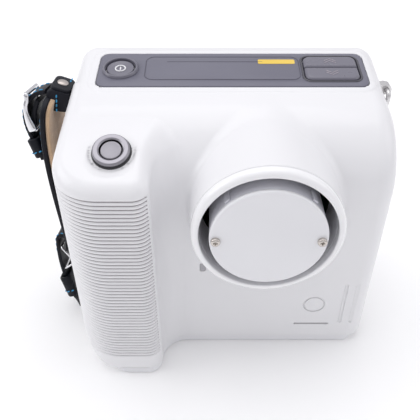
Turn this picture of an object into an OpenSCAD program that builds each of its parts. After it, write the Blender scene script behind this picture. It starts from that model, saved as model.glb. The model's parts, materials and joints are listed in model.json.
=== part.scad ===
// Handheld intraoral x-ray unit: hollow two-part body with a ribbed hand grip, a short beam cone at the front,
// a control panel on the sloping top, a leather hand strap on the left side and a ring on the right side.
// Origin: centre of the base underside. X to the right, -Y to the front, +Z up.

/* [Body] */
// Half of the body width, mm
body_hw = 71; // [60:0.5:80]
// Front face of the main body, mm in front of the origin
front_y = 41; // [34:0.5:50]
// Rear face of the body, mm behind the origin
rear_y = 38; // [30:0.5:50]
// Slope of the top, degrees, rising to the rear
top_tilt = 9.4; // [0:0.1:20]
// Height of the top plane at the front edge of the panel, mm
top_z = 126; // [110:0.5:140]
// Y of the front edge of the panel, mm
panel_y = -1; // [-10:0.5:10]
// Radius of the forehead between front face and top, mm
forehead_r = 28; // [10:1:36]
// Radius along the two long top edges, mm
top_edge_r = 8; // [3:0.5:14]
// Upright corner radius of the main body, mm
corner_r = 10; // [4:0.5:16]
// Wall thickness of the shells, mm
wall = 2.6; // [2:0.1:4]
// Height of the base cover, mm
base_h = 5; // [3:0.5:8]

/* [Grip] */
// Front of the grip lobe, mm in front of the origin
grip_y = 61; // [50:0.5:70]
// Right side of the grip lobe, mm from the middle
grip_x = 31.5; // [25:0.5:40]
// Left front corner radius of the grip, mm
grip_r = 20; // [10:0.5:26]
// Radius of the lower left corner seen from the front, mm
heel_r = 28; // [8:1:34]
// Slope of the thumb shelf, degrees
shelf_tilt = 16; // [6:0.5:30]
// Slope of the exposure button's seat, degrees
button_tilt = 24.4; // [10:0.1:35]
// Height of the shelf at its front edge, mm
shelf_edge = 112.8; // [105:0.1:118]
// Number of grip grooves
groove_n = 49; // [20:1:60]
// Groove pitch, mm
groove_pitch = 1.94; // [1.5:0.01:3]
// Groove depth, mm
groove_d = 0.5; // [0.3:0.1:0.9]
// Height of the lowest groove, mm
groove_z0 = 14.05; // [8:0.05:20]

/* [Beam cone] */
// Cone axis X, mm
cone_x = 14.9; // [0:0.1:30]
// Cone axis height, mm
cone_z = 91; // [80:0.5:100]
// Front rim of the cone, mm in front of the origin
rim_y = 61.2; // [50:0.1:75]
// Outer radius of the rim, mm
rim_r = 31; // [25:0.1:36]
// Inner radius of the rim, mm
rim_ri = 27.8; // [22:0.1:32]
// Radius of the inner drum, mm
drum_r = 23.5; // [18:0.1:26]
// Distance of the two plate screws from the cone axis, mm
plate_screw_x = 21; // [15:0.1:22]

/* [Controls] */
// Panel width, mm
panel_w = 121.7; // [90:0.1:130]
// Panel depth along the slope, mm
panel_d = 26.2; // [20:0.1:30]
// Power button centre X, mm
power_x = -49.1; // [-60:0.1:0]
// Key block centre X, mm
keys_x = 47; // [20:0.1:60]
// Travel of the exposure button, mm
exposure_travel = 1.6; // [0.5:0.1:3]
// Travel of the panel buttons, mm
panel_travel = 0.6; // [0.3:0.1:1.5]

/* [Strap] */
// Tilt of the strap along the side, degrees
strap_tilt = 12; // [0:1:20]
// Width of the hand pad, mm
pad_w = 30; // [20:1:40]
// Width of the narrow strap, mm
strap_w = 14.4; // [12:0.2:24]
// Width of the riveted tab, mm
tab_w = 15; // [12:0.5:24]
// Overall width of the buckle, mm
buckle_w = 18.4; // [16:0.2:28]

/* [Side ring] */
// Position of the ring's pivot towards the rear, mm
ring_y = 9.6; // [0:0.2:20]
// Height of the ring's pivot, mm
ring_z = 120.6; // [110:0.2:121]
// Half length of the ring, mm
ring_half = 6.2; // [4:0.1:8]
// Radius of the ring's rod, mm
ring_rod = 1.1; // [0.8:0.05:1.4]

/* [Hidden] */
$fn = 64;
panel_cx = 1.85;
gap = 0.2;
shelf_c = [-47.0, -41.5, 118.6];
deck_drop = 1;
rivet_x = -76.1;
feet_at = [[-46, -50], [-40, 28], [56, -28], [56, 28]];
base_screw_at = [[-28, 31.5], [-38.8, -53.8], [38, -34], [38, 31.5]];
shell_screw_x = 63.2;
shell_screw_z = [24, 106];
lug_eye = [-78, 33.6];
wire_top = [-84.2, 42.5];
wire_low = [-83.6, 29.8];
wire_r = 0.5;
wire_y = 8;
pi_step = 6;

function unit(v) = v / norm(v);
function wrap(a) = ((a + 540) % 360) - 180;
// Rounded corner at b between a and c
function corner(a, b, c, r, n) = r <= 0.05 ? [b] : let (u = unit(a - b), w = unit(c - b),
    h = acos(max(-1, min(1, u * w))) / 2, m = b + unit(u + w)
        * r / sin(h), p = b + u * r / tan(h), q = b + w * r / tan(h), a0 =
            atan2(p[1] - m[1], p[0] - m[0]), da =
                wrap(atan2(q[1] - m[1], q[0] - m[0]) - a0)) [for (i = [0:n])
                    m + r * [cos(a0 + da * i / n), sin(a0 + da * i / n)]];
function rpoly(v, r, n = pi_step) =
    let (k = len(v))
        [for (i = [0:k - 1]) each corner(v[(i + k - 1) % k], v[i], v[(i + 1) % k], r[i], n)];
function edge_n(a, b) = let (e = unit(b - a)) [-e[1], e[0]];
function ins(v, d) = let (k = len(v)) [for (i = [0:k - 1]) let (n1 = edge_n(v[(i + k - 1) % k],
    v[i]), n2 = edge_n(v[i], v[(i + 1) % k])) v[i] + d * (n1 + n2) / (1 + n1 * n2)];
function insr(v, r, d) = let (k = len(v)) [for (i = [0:k - 1]) let (n1 = edge_n(v[(i + k - 1) % k],
    v[i]), n2 = edge_n(v[i], v[(i + 1) % k])) n1[0] * n2[1] - n1[1] * n2[0] > 0 ? max(0, r[i] - d) :
        r[i] + d];
function shape(v, r, d) = rpoly(ins(v, d), insr(v, r, d));

// Plan outline, counter-clockwise: grip lobe at the left front
plan_v = [[-body_hw, -grip_y], [-grip_x, -grip_y], [-grip_x, -front_y], [body_hw, -front_y],
    [body_hw, rear_y], [-body_hw, rear_y]];
plan_r = [grip_r, 7, 12, corner_r, corner_r, corner_r];
// Upper part of the lobe, flaring to the right where the shelf runs into the top
lobe_v = [[-body_hw, -grip_y], [-grip_x, -grip_y], [-grip_x, -37], [-20, -23], [-20, 10],
    [-body_hw, 10]];
lobe_r = [grip_r, 7, 10, 6, 0, 0];
// Side outlines in (Y, Z)
t9 = tan(top_tilt);
tf = tan(shelf_tilt);
function top_at(y) = top_z + (y - panel_y) * t9;
shelf_z0 = shelf_edge + grip_y * tf;
shelf_meet = (shelf_z0 - top_z + deck_drop + panel_y * t9) / (t9 - tf);
main_v = [[-front_y + 1, -30], [rear_y, -30], [rear_y, top_at(rear_y)],
    [-front_y - 1.8, top_at(-front_y - 1.8)]];
main_r = [0, 0, 10, forehead_r];
grip_v = [[-grip_y, -30], [0, -30], [0, top_at(0) - deck_drop],
    [shelf_meet, top_at(shelf_meet) - deck_drop],
    [-grip_y, shelf_z0 - grip_y * tf]];
grip_rr = [0, 0, 0, 20, 6];
web_v = [[-grip_y - 1, -30], [-20, -30], [-20, 112], [-front_y, 108], [-front_y - 7, 103],
    [-grip_y - 1, 78]];
web_r = [0, 0, 0, 8, 8, 0];
// Front outline in (X, Z)
face_v = [[-body_hw, 0], [body_hw, 0], [body_hw, 170], [-body_hw, 170]];
face_r = [heel_r, 8, 0, 0];
roof_v = [[-body_hw, -190], [body_hw, -190], [body_hw, 0], [-body_hw, 0]];
roof_r = [0, 0, top_edge_r, top_edge_r];

module along_x(p, w = 200) {
    translate([-w / 2, 0, 0]) rotate([90, 0, 90]) linear_extrude(w) polygon(p);
}

module along_y(p, w = 200) {
    translate([0, w / 2, 0]) rotate([90, 0, 0]) linear_extrude(w) polygon(p);
}

module on_top(x, v, w) {
    translate([0, panel_y, top_z]) rotate([top_tilt, 0, 0]) translate([x, v, w]) children();
}

module on_shelf() {
    translate(shelf_c) rotate([button_tilt, 0, 0]) children();
}

module on_cone(y) {
    translate([cone_x, -y, cone_z]) rotate([90, 0, 0]) children();
}

module rbox(w, h, t, r) {
    linear_extrude(t)
        polygon(rpoly([[-w / 2, -h / 2], [w / 2, -h / 2], [w / 2, h / 2], [-w / 2, h / 2]],
            [r, r, r, r]));
}

// Body volume inset by d
module volume(d) {
    intersection() {
        union() {
            intersection() {
                translate([0, 0, -20]) linear_extrude(200) polygon(shape(plan_v, plan_r, d));
                along_x(shape(main_v, main_r, d));
            }
            intersection() {
                translate([0, 0, -20]) linear_extrude(200) polygon(shape(lobe_v, lobe_r, d));
                along_x(shape(grip_v, grip_rr, d));
            }
            intersection() {
                translate([0, 0, -20]) linear_extrude(200) polygon(shape(plan_v, plan_r, d));
                along_x(shape(web_v, web_r, d));
                translate([-60, -90, -20]) cube([48, 90, 200]);
            }
        }
        along_y(shape(face_v, face_r, d));
        on_top(0, 0, 0) along_y(shape(roof_v, roof_r, d));
    }
}

module grooves() {
    intersection() {
        for (i = [0:groove_n - 1]) translate([0, 0, groove_z0 + i * groove_pitch])
            linear_extrude(0.9) difference() {
            polygon(shape(plan_v, plan_r, -1));
            polygon(shape(plan_v, plan_r, groove_d));
        }
        translate([-76, -70, 0]) cube([45.2, 50, 130]);
    }
}

module cone_outer() {
    on_cone(0) rotate_extrude()
        polygon([[0, 8], [35.4, 8], [34.0, 24], [32.6, 36], [31.7, 46], [rim_r, rim_y - 4.2],
            [0, rim_y - 4.2]]);
}

module shell_body() {
    difference() {
        union() {
            volume(0);
            cone_outer();
        }
        difference() {
            volume(wall);
            // bosses for the rear cover screws
            for (x = [-1, 1], z = shell_screw_z) translate([x * shell_screw_x, 31.9, z]) rotate([90, 0, 0])
                cylinder(r = 4.6, h = 16);
            // guide tube of the exposure button
            on_shelf() translate([0, 0, -9]) cylinder(r = 7.2, h = 12);
        }
        // bore of the cone
        on_cone(20) cylinder(r = rim_ri, h = 60);
        on_cone(-6) cylinder(r = 26.2, h = 40);
        for (x = [-1, 1], z = shell_screw_z) translate([x * shell_screw_x, 40, z]) rotate([90, 0, 0])
            cylinder(r = 1.3, h = 22);
        // panel recess and openings under it
        on_top(panel_cx, panel_d / 2, -1.2) rbox(panel_w + 2 * gap, panel_d + 2 * gap, 6, 4.2);
        on_top(power_x, 13.5, -8) cylinder(r = 7.2, h = 10);
        on_top(keys_x, 13.6, -8) rbox(25.8, 19.8, 10, 3.6);
        on_top(-2.5, 14, -8) rbox(40, 9, 10, 2);
        // exposure button seat
        on_shelf() translate([0, 0, -12]) cylinder(r = 4.67, h = 20);
        on_shelf() translate([0, 0, -2.6]) cylinder(r = 8.1, h = 12);
        on_shelf() translate([0, 0, -1.8]) cylinder(r1 = 9.0, r2 = 13.4, h = 3.4);
        // slot, two upright grooves and the engraved ring at the lower right front
        translate([43.2, -front_y + 4, 14.6]) rotate([90, 0, 0]) rbox(18.4, 2.4, 10, 1.1);
        for (x = [57.5, 63]) translate([x, -front_y + 0.4, 29.2]) rotate([90, 0, 0])
            rbox(1.6, 27.6, 10, 0.75);
        translate([43.2, -front_y + 0.6, 28.9]) rotate([90, 0, 0]) difference() {
            cylinder(r = 5.4, h = 10);
            translate([0, 0, -1]) cylinder(r = 4.6, h = 12);
        }
        translate([-11.5, -front_y + 4, 54.4]) rotate([90, 0, 0]) rbox(2.8, 5.2, 10, 1.3);
        // charging socket at the right side, low
        translate([60, 8, 22]) rotate([0, 90, 0]) cylinder(r = 5.2, h = 20);
        // pockets of the strap lugs and the ring lug
        on_strap() for (z = [31, 111.8]) translate([-73, -7.05, z - 0.05]) cube([6, 14.1, 5.1]);
        translate([65, ring_y - 2.45, ring_z - 2.25]) cube([10, 4.9, 4.5]);
        translate([0, 0, -30 + base_h]) translate([-100, -100, 0]) cube([200, 200, 30]);
    }
}

// Outer parts
module front_shell() {
    color([0.93, 0.93, 0.94]) difference() {
        shell_body();
        grooves();
        translate([-100, 32, -10]) cube([200, 100, 200]);
    }
}

module rear_cover() {
    color([0.93, 0.93, 0.94]) difference() {
        intersection() {
            volume(0);
            translate([-100, 32.2, base_h]) cube([200, 100, 200]);
        }
        difference() {
            volume(wall);
            for (x = [-1, 1], z = shell_screw_z) translate([x * shell_screw_x, 60, z]) rotate([90, 0, 0])
                cylinder(r = 5.2, h = 27.5);
        }
        for (x = [-1, 1], z = shell_screw_z) translate([x * shell_screw_x, 50, z]) rotate([90, 0, 0]) {
            cylinder(r = 1.7, h = 20);
            cylinder(r = 3.1, h = 14);
        }
        translate([0, 30, 84]) rotate([-90, 0, 0]) rbox(58, 36, 20, 3);
        translate([0, 36.8, 84]) rotate([-90, 0, 0]) rbox(64.4, 42.4, 20, 4.2);
    }
}

module base_cover() {
    color([0.9, 0.9, 0.92]) difference() {
        intersection() {
            linear_extrude(base_h - 0.1) polygon(shape(plan_v, plan_r, 0.6));
            along_y(rpoly([[-62, base_h + 3], [-52, 0], [64, 0], [67.5, base_h + 3]],
                [0, 6, 2, 0]));
        }
        translate([0, 0, 2.6]) linear_extrude(base_h) polygon(shape(plan_v, plan_r, 16));
        translate([0, -4, -1]) cylinder(r = 6.05, h = 10);
        for (p = feet_at) translate([p[0], p[1], -1])
            cylinder(r = 5.1, h = 1.6);
        for (p = base_screw_at) translate([p[0], p[1], -1]) {
            cylinder(r = 1.7, h = 10);
            cylinder(r = 3.2, h = 3);
        }
    }
}

module rubber_feet() {
    color([0.12, 0.12, 0.13]) for (p = feet_at)
        translate([p[0], p[1], 0]) cylinder(r = 5, h = 0.6);
}

module base_screws() {
    color([0.7, 0.7, 0.72]) for (p = base_screw_at)
        translate([p[0], p[1], 0.5]) difference() {
        union() {
            cylinder(r = 2.9, h = 1.5);
            translate([0, 0, 1]) cylinder(r = 1.5, h = 6);
        }
        translate([0, 0, -1]) cylinder(r = 1.2, h = 1.9, $fn = 6);
    }
}

module base_blocks() {
    color([0.85, 0.85, 0.86])
        for (p = base_screw_at)
            translate([p[0], p[1], base_h + 0.1]) difference() {
        cylinder(r = 3.3, h = 8);
        translate([0, 0, -1]) cylinder(r = 1.52, h = 7);
    }
}

module shell_screws() {
    color([0.7, 0.7, 0.72]) for (x = [-1, 1], z = shell_screw_z) translate([x * shell_screw_x, 36.05, z])
        rotate([90, 0, 0]) difference() {
        union() {
            translate([0, 0, -1.6]) cylinder(r = 2.75, h = 1.6);
            cylinder(r = 1.27, h = 14);
        }
        translate([0, 0, -3]) cylinder(r = 1.2, h = 2.4, $fn = 6);
    }
}

module tripod_insert() {
    color([0.75, 0.6, 0.3]) translate([0, -4, 0.4]) difference() {
        union() {
            cylinder(r = 6, h = 9);
            translate([0, 0, 3]) cylinder(r = 8, h = 3);
        }
        translate([0, 0, -1]) cylinder(r = 3.175, h = 8.5);
    }
}

// Cone
module cone_ring() {
    color([0.95, 0.95, 0.96]) on_cone(rim_y - 4) union() {
        rotate_extrude()
            polygon([[rim_ri, 0], [rim_r - 0.1, 0], [rim_r, 0.2], [rim_r, 3.2], [rim_r - 0.8, 4],
                [rim_ri + 0.6, 4], [rim_ri, 3.4]]);
    }
}

module drum() {
    color([0.93, 0.93, 0.94]) on_cone(27.2) difference() {
        cylinder(r = drum_r, h = rim_y - 27.2);
        translate([0, 0, -1]) cylinder(r = 15, h = rim_y - 27.2 - 3);
        cylinder(r = 5, h = 60);
        for (s = [-1, 1]) translate([s * plate_screw_x, -0.5, rim_y - 27.2 - 8])
            cylinder(r = 1.02, h = 12);
    }
}

module front_plate() {
    color([0.95, 0.95, 0.96]) on_cone(rim_y + 0.1) difference() {
        rotate_extrude()
            polygon([[0, 0], [drum_r + 0.1, 0], [drum_r + 0.1, 1.4], [drum_r - 0.5, 2], [0, 2]]);
        for (s = [-1, 1]) translate([s * plate_screw_x, -0.5, -1]) cylinder(r = 1.2, h = 6);
    }
}

module plate_screws() {
    color([0.75, 0.72, 0.68]) for (s = [-1, 1]) translate([s * plate_screw_x, 0, -0.5])
        on_cone(rim_y + 2.1) difference() {
        union() {
            rotate_extrude() polygon([[0, 0], [1.95, 0], [1.8, 0.7], [1.1, 1.15], [0, 1.2]]);
            translate([0, 0, -8]) cylinder(r = 1, h = 8.4);
        }
        translate([-0.25, -1.2, 0.55]) cube([0.5, 2.4, 2]);
        translate([-1.2, -0.25, 0.55]) cube([2.4, 0.5, 2]);
    }
}

module plate_clips() {
    color([0.8, 0.8, 0.82]) for (s = [-1, 1]) translate([cone_x + s * 16.42, 0, cone_z + 17.0])
        rotate([90, s * 44, 0]) translate([-1.2, 0, rim_y - 6]) cube([2.4, 0.7, 5.6]);
}

module cone_floor() {
    color([0.1, 0.1, 0.11]) on_cone(24.5) difference() {
        cylinder(r = rim_ri - 0.1, h = 2.4);
        translate([0, 0, -1]) cylinder(r = 15.6, h = 5);
    }
}

// Beam generator
module tank() {
    color([0.6, 0.62, 0.65]) on_cone(-18) difference() {
        cylinder(r = 25, h = 42);
        translate([0, 0, -1]) cylinder(r = 22.8, h = 40.6);
        cylinder(r = 7.1, h = 60);
    }
}

module tank_lid() {
    color([0.55, 0.57, 0.6]) on_cone(-20.2) cylinder(r = 25, h = 2);
}

module beam_filter() {
    color([0.8, 0.8, 0.82]) on_cone(24.1) cylinder(r = 7, h = 2.2);
}

module collimator() {
    color([0.35, 0.36, 0.38]) on_cone(27.4) difference() {
        cylinder(r = 14.8, h = 9);
        translate([0, 0, -1]) cylinder(r1 = 4, r2 = 7.6, h = 11);
    }
}

module glass_tube() {
    color([0.75, 0.85, 0.85, 0.4]) translate([cone_x - 19, 0, cone_z]) rotate([0, 90, 0])
        difference() {
        cylinder(r = 8.5, h = 38);
        translate([0, 0, 1.2]) cylinder(r = 7.3, h = 35.6);
    }
}

module anode() {
    color([0.72, 0.45, 0.25]) translate([cone_x + 17.3, 0, cone_z]) rotate([0, -90, 0]) difference()
        {
        cylinder(r = 4, h = 14);
        translate([-6, -8, 12]) rotate([-20, 0, 0]) cube([12, 16, 8]);
    }
}

module cathode() {
    color([0.6, 0.6, 0.62]) translate([cone_x - 17.3, 0, cone_z]) rotate([0, 90, 0]) union() {
        cylinder(r = 3, h = 8);
        translate([0, 0, 8]) cylinder(r = 4.2, h = 3);
    }
}

module hv_transformer() {
    color([0.3, 0.25, 0.2]) translate([-10, -24, 22]) union() {
        cube([26, 30, 34]);
        translate([4, 6, 34]) cube([18, 18, 3]);
    }
}

module drive_board() {
    color([0.1, 0.4, 0.2]) translate([-16, 9, 14]) cube([73, 1.6, 46]);
}

module drive_caps() {
    color([0.2, 0.2, 0.3]) for (x = [24, 36, 48]) translate([x, 8.9, 34]) rotate([90, 0, 0])
        cylinder(r = 5, h = 20);
}

module control_board() {
    color([0.1, 0.4, 0.2]) on_top(panel_cx, 13, -9.2) translate([-58, -12, 0]) cube([116, 24, 1.6]);
}

module panel_switches() {
    color([0.15, 0.15, 0.16]) for (p = [[power_x, 13.5], [keys_x, 8.8], [keys_x, 18.4]])
        on_top(p[0], p[1], -7.5) union() {
        translate([-3, -3, 0]) cube([6, 6, 1.3]);
        cylinder(r = 1.6, h = 2.2);
    }
}

module battery_pack() {
    color([0.2, 0.35, 0.6]) translate([-65, -43, 22]) union() {
        for (x = [9, 26], y = [9.5, 28.5]) translate([x * 0.95 - 1.4, y, 0])
            cylinder(r = 8, h = 66);
        translate([3, 6, 8]) cube([24, 26, 50]);
    }
}

module battery_frame() {
    color([0.25, 0.25, 0.27]) translate([-64, -44, 18]) cube([28.6, 38, 3.6]);
}

module charge_socket() {
    color([0.15, 0.15, 0.16]) translate([58, 8, 22]) rotate([0, 90, 0]) difference() {
        union() {
            cylinder(r = 5, h = 12.6);
            translate([0, 0, 2]) cylinder(r = 7, h = 8);
        }
        translate([0, 0, 3]) cylinder(r = 2.75, h = 12);
    }
}

// Top panel
module top_panel() {
    color([0.52, 0.51, 0.57]) on_top(panel_cx, panel_d / 2, -1.1) difference() {
        rbox(panel_w, panel_d, 1.6, 4);
        translate([power_x - panel_cx, 13.5 - panel_d / 2, -1]) cylinder(r = 6.95, h = 5);
        translate([keys_x - panel_cx, 13.6 - panel_d / 2, -1]) rbox(25.4, 19.4, 5, 3.4);
        translate([-2.5 - panel_cx, 14.1 - panel_d / 2, 1.2]) difference() {
            rbox(71, 18.6, 5, 4);
            translate([0, 0, -1]) rbox(70, 17.6, 8, 3.6);
        }
        translate([22.5 - panel_cx, 19.2 - panel_d / 2, 0.9]) rbox(17.4, 3.9, 5, 0.8);
        translate([-8 - panel_cx, 19.2 - panel_d / 2, 1.25]) rbox(40, 0.5, 5, 0.2);
    }
}

module status_strip() {
    color([0.95, 0.72, 0.15]) on_top(22.5, 19.2, -0.15) rbox(17, 3.5, 0.75, 0.7);
}

module power_bezel() {
    color([0.5, 0.5, 0.55]) on_top(power_x, 13.5, 0.55) rotate_extrude()
        polygon([[6.9, 0], [8.3, 0], [8.3, 0.5], [7.7, 1.1], [7.2, 1.1], [6.9, 0.8]]);
}

module power_button() {
    color([0.5, 0.49, 0.55]) on_top(power_x, 13.5, -4.3) difference() {
        union() {
            cylinder(r = 6.2, h = 5.2);
            translate([0, 0, -0.1]) cylinder(r = 2.2, h = 1);
            cylinder(r = 6.7, h = 1);
        }
        translate([0, 0, 4.8]) cylinder(r = 2.7, h = 1);
    }
}

module power_mark() {
    color([0.92, 0.92, 0.93]) on_top(power_x, 13.5, 0.5) union() {
        difference() {
            cylinder(r = 2.6, h = 0.4);
            translate([0, 0, -1]) cylinder(r = 2.0, h = 3);
            translate([-0.7, 0, -1]) cube([1.4, 4, 3]);
        }
        translate([-0.3, 0.1, 0]) cube([0.6, 2.6, 0.4]);
    }
}

module key_up() {
    color([0.55, 0.54, 0.6]) on_top(keys_x, 18.35, -4.2) union() {
        rbox(24.4, 8.6, 5.7, 3);
        translate([0, 0, -0.1]) cylinder(r = 2.2, h = 1);
    }
}

module key_down() {
    color([0.55, 0.54, 0.6]) on_top(keys_x, 9, -4.2) union() {
        rbox(24.4, 9.2, 5.7, 3);
        translate([0, 0, -0.1]) cylinder(r = 2.2, h = 1);
    }
}

module key_bezel() {
    color([0.7, 0.7, 0.74]) on_top(keys_x, 13.6, 0.55) difference() {
        rbox(27.2, 21.2, 0.7, 4.2);
        translate([0, 0, -1]) rbox(25.1, 19.1, 4, 3.2);
    }
}

module key_marks_up() {
    color([0.9, 0.9, 0.92]) on_top(keys_x, 18.4, 1.55) linear_extrude(0.25)
        polygon([[-2.6, -1.1], [0, 1.3], [2.6, -1.1], [1.7, -1.1], [0, 0.5], [-1.7, -1.1]]);
}

module key_marks_down() {
    color([0.9, 0.9, 0.92]) on_top(keys_x, 9, 1.55) linear_extrude(0.25)
        polygon([[-2.9, 1.2], [0, -1.5], [2.9, 1.2], [2, 1.2], [0, -0.6], [-2, 1.2]]);
}

// Exposure control
module exposure_bezel() {
    color([0.62, 0.61, 0.65]) on_shelf() rotate_extrude()
        polygon([[4.9, -2.5], [7.7, -2.5], [7.7, 0.9], [7.1, 1.5], [6.0, 1.4], [5.2, 0.9],
            [4.9, 0.2]]);
}

module exposure_button() {
    color([0.66, 0.65, 0.7]) on_shelf() union() {
        rotate_extrude() polygon([[0, -8], [4.6, -8], [4.6, 0.3], [4.2, 0.65], [0, 0.5]]);
        translate([0, 0, -10]) cylinder(r = 2.4, h = 3);
    }
}

module exposure_switch() {
    color([0.15, 0.15, 0.16]) on_shelf() translate([0, 0, -17.2]) union() {
        translate([-6, -6, 0]) cube([12, 12, 4]);
        translate([0, 0, 4]) cylinder(r = 3.6, h = 1.4);
    }
}

// Rear display
module display_lens() {
    color([0.1, 0.11, 0.13]) translate([0, 37, 84]) rotate([-90, 0, 0]) rbox(64, 42, 1.1, 4);
}

module display_module() {
    color([0.2, 0.25, 0.22]) translate([-27, 30.4, 68]) cube([54, 4.8, 32]);
}

// Small outside pieces
module slot_insert() {
    color([0.2, 0.2, 0.22]) translate([43.2, -front_y + 3.5, 14.6]) rotate([90, 0, 0])
        rbox(18, 2, 2.6, 0.95);
}

module pilot_lens() {
    color([0.6, 0.6, 0.63]) translate([-11.5, -front_y + 3.5, 54.4]) rotate([90, 0, 0])
        rbox(2.5, 4.9, 3.3, 1.2);
}

module ring_lug() {
    color([0.8, 0.8, 0.82]) translate([69.6, ring_y, ring_z]) difference() {
        union() {
            translate([0, -2.4, -2.2]) cube([3.4, 4.8, 4.4]);
            translate([3.4, 2.4, 0]) rotate([90, 0, 0]) cylinder(r = 2.2, h = 4.8);
        }
        translate([3.4, 4, 0]) rotate([90, 0, 0]) cylinder(r = ring_rod + 0.07, h = 8);
    }
}

module ring_loop() {
    color([0.85, 0.85, 0.87]) translate([73, ring_y, ring_z]) mirror([0, 0, 1]) union() {
        translate([0, ring_half, 0]) rotate([90, 0, 0]) cylinder(r = ring_rod, h = 2 * ring_half);
        for (s = [-1, 1]) translate([0, s * ring_half, 0]) {
            sphere(r = ring_rod);
            cylinder(r = ring_rod, h = 2.6);
        }
        translate([0, 0, 2.6]) rotate([0, 90, 0]) rotate([0, 0, 90]) difference() {
            rotate_extrude() translate([ring_half, 0]) circle(r = ring_rod, $fn = 32);
            translate([-12, -12, -3]) cube([24, 12, 6]);
        }
    }
}

// Strap, local frame: z runs up along the strap, then the whole strap is tilted
module on_strap() {
    translate([0, -3, 70]) rotate([-strap_tilt, 0, 0]) translate([0, 0, -70]) children();
}

function side(c, t) = [for (i = [0:len(c) - 1]) let (a = c[max(0, i - 1)],
    b = c[min(len(c) - 1, i + 1)], e = unit(b - a)) c[i] + t * [-e[1], e[0]]];
function rev(v) = [for (i = [len(v) - 1:-1:0]) v[i]];

module ribbon(c, t0, t1, w) {
    translate([0, w / 2, 0]) rotate([90, 0, 0]) linear_extrude(w)
        polygon(concat(side(c, t0), rev(side(c, t1))));
}

function bez(a, b, c, d, n) =
    [for (i = [0:n]) let (t = i / n,
        u = 1 - t) u * u * u * a + 3 * u * u * t * b + 3 * u * t * t * c + t * t * t * d];
pad_c = bez([-81.6, 121], [-89, 102], [-81.5, 66], [-78.6, 40], 14);
out_c = concat(bez([-82.8, 123.2], [-89.4, 122.8], [-93.9, 117], [-93.9, 110.5], 9),
    bez([-93.9, 109.5], [-93.9, 103], [-90.7, 98], [-88.4, 89.6], 9));
end_c = bez([-87.4, 118.2], [-89.6, 114], [-90.1, 111], [-89.8, 107.8], 5);
low_c = concat([[-80.4, 40]], bez([-80.4, 45.8], [-80.4, 50.6], [-86.9, 50.6], [-86.9, 45.8], 10),
    bez([-87, 41], [-87.6, 32], [-85.6, 22], [-79.4, 4.5], 9));
buckle_c = [-68.6, 111.3];
buckle_a = 153;
function arc(r, a0, a1, n) =
    [for (i = [0:n]) buckle_c + r * [cos(a0 + (a1 - a0) * i / n), sin(a0 + (a1 - a0) * i / n)]];

module tab_pocket() {
    translate([-82.3, -tab_w / 2 - 0.3, 113]) cube([20, tab_w + 0.6, 30]);
}

module strap_pad() {
    color([0.07, 0.07, 0.08]) on_strap() difference() {
        ribbon(pad_c, 0, 2.2, pad_w);
        tab_pocket();
    }
}

module pad_lining() {
    color([0.72, 0.62, 0.5]) on_strap() difference() {
        ribbon(pad_c, 2.3, 4.3, pad_w - 1.6);
        tab_pocket();
    }
}

module outer_strap() {
    color([0.07, 0.07, 0.08]) on_strap() {
        ribbon(out_c, 0, 2, strap_w);
        ribbon(end_c, 0, 2.2, strap_w);
    }
}

module upper_tab() {
    color([0.08, 0.08, 0.09]) on_strap() difference() {
        translate([-82, tab_w / 2, 113.6]) rotate([90, 0, 0]) linear_extrude(tab_w)
            polygon(rpoly([[0, 0], [10.6, -1], [10.6, 9.4], [1.2, 12.6]], [2, 0.5, 1.2, 1.6]));
        translate([rivet_x, 0, 100]) cylinder(r = 2.1, h = 30);
    }
}

module rivet() {
    color([0.7, 0.66, 0.6]) on_strap() translate([rivet_x, 0, 112.2]) union() {
        cylinder(r = 2, h = 12.5);
        translate([0, 0, -1]) cylinder(r = 3, h = 1.2);
        translate([0, 0, 12.3]) rotate([0, 18.8, 0]) rotate_extrude()
            polygon([[0, 0], [2.5, 0.3], [2.45, 0.9], [1.7, 1.4], [0, 1.6]]);
    }
}

module upper_lug() {
    color([0.75, 0.75, 0.78]) on_strap() translate([-71.2, -7, 111.8]) cube([2.8, 14, 5]);
}

module buckle_frame() {
    color([0.85, 0.85, 0.87]) on_strap() union() {
        for (s = [-1, 1]) translate([0, s > 0 ? buckle_w / 2 : -buckle_w / 2 + 1.6, 0])
            rotate([90, 0, 0]) linear_extrude(1.6)
                polygon(concat(arc(24.3, buckle_a, 199, 14), arc(19.6, 199, 193, 3),
                    arc(21.3, 188, buckle_a, 12)));
        translate([buckle_c[0] + 24.3 * cos(buckle_a + 2), buckle_w / 2 - 0.4,
            buckle_c[1] + 24.3 * sin(buckle_a + 2)]) rotate([90, 0, 0]) cylinder(r = 1.1,
                h = buckle_w - 0.8);
        translate([buckle_c[0] + 20.6 * cos(197), buckle_w / 2 - 0.4,
            buckle_c[1] + 20.6 * sin(197)]) rotate([90, 0, 0]) cylinder(r = 0.9,
                h = buckle_w - 0.8);
    }
}

module keeper(x, z, lean, h) {
    on_strap() translate([x, 0, z]) rotate([0, -lean, 0]) difference() {
        translate([-2.9, -strap_w / 2 - 2, -h / 2]) cube([5.8, strap_w + 4, h]);
        translate([-1.6, -strap_w / 2 - 0.7, -h]) cube([3.2, strap_w + 1.4, 2 * h]);
    }
}

module upper_keeper() {
    color([0.09, 0.09, 0.1]) keeper(-89.2, 96.1, 18.6, 9.4);
}

module lower_strap() {
    color([0.07, 0.07, 0.08]) on_strap() ribbon(low_c, 0, 1.8, strap_w);
}

module lower_keeper() {
    color([0.09, 0.09, 0.1]) keeper(-82.9, 18.7, 16, 12.4);
}

module lower_lug() {
    color([0.75, 0.75, 0.78]) on_strap() difference() {
        union() {
            translate([-71.2, -7, 31]) cube([2.8, 14, 5]);
            translate([lug_eye[0], -4, lug_eye[1] - 1.2]) cube([7.4, 8, 2.4]);
            translate([lug_eye[0], 4, lug_eye[1]]) rotate([90, 0, 0]) cylinder(r = 1.5, h = 8);
        }
        translate([lug_eye[0], 9, lug_eye[1]]) rotate([90, 0, 0]) cylinder(r = wire_r + 0.06, h = 18);
    }
}

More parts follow.
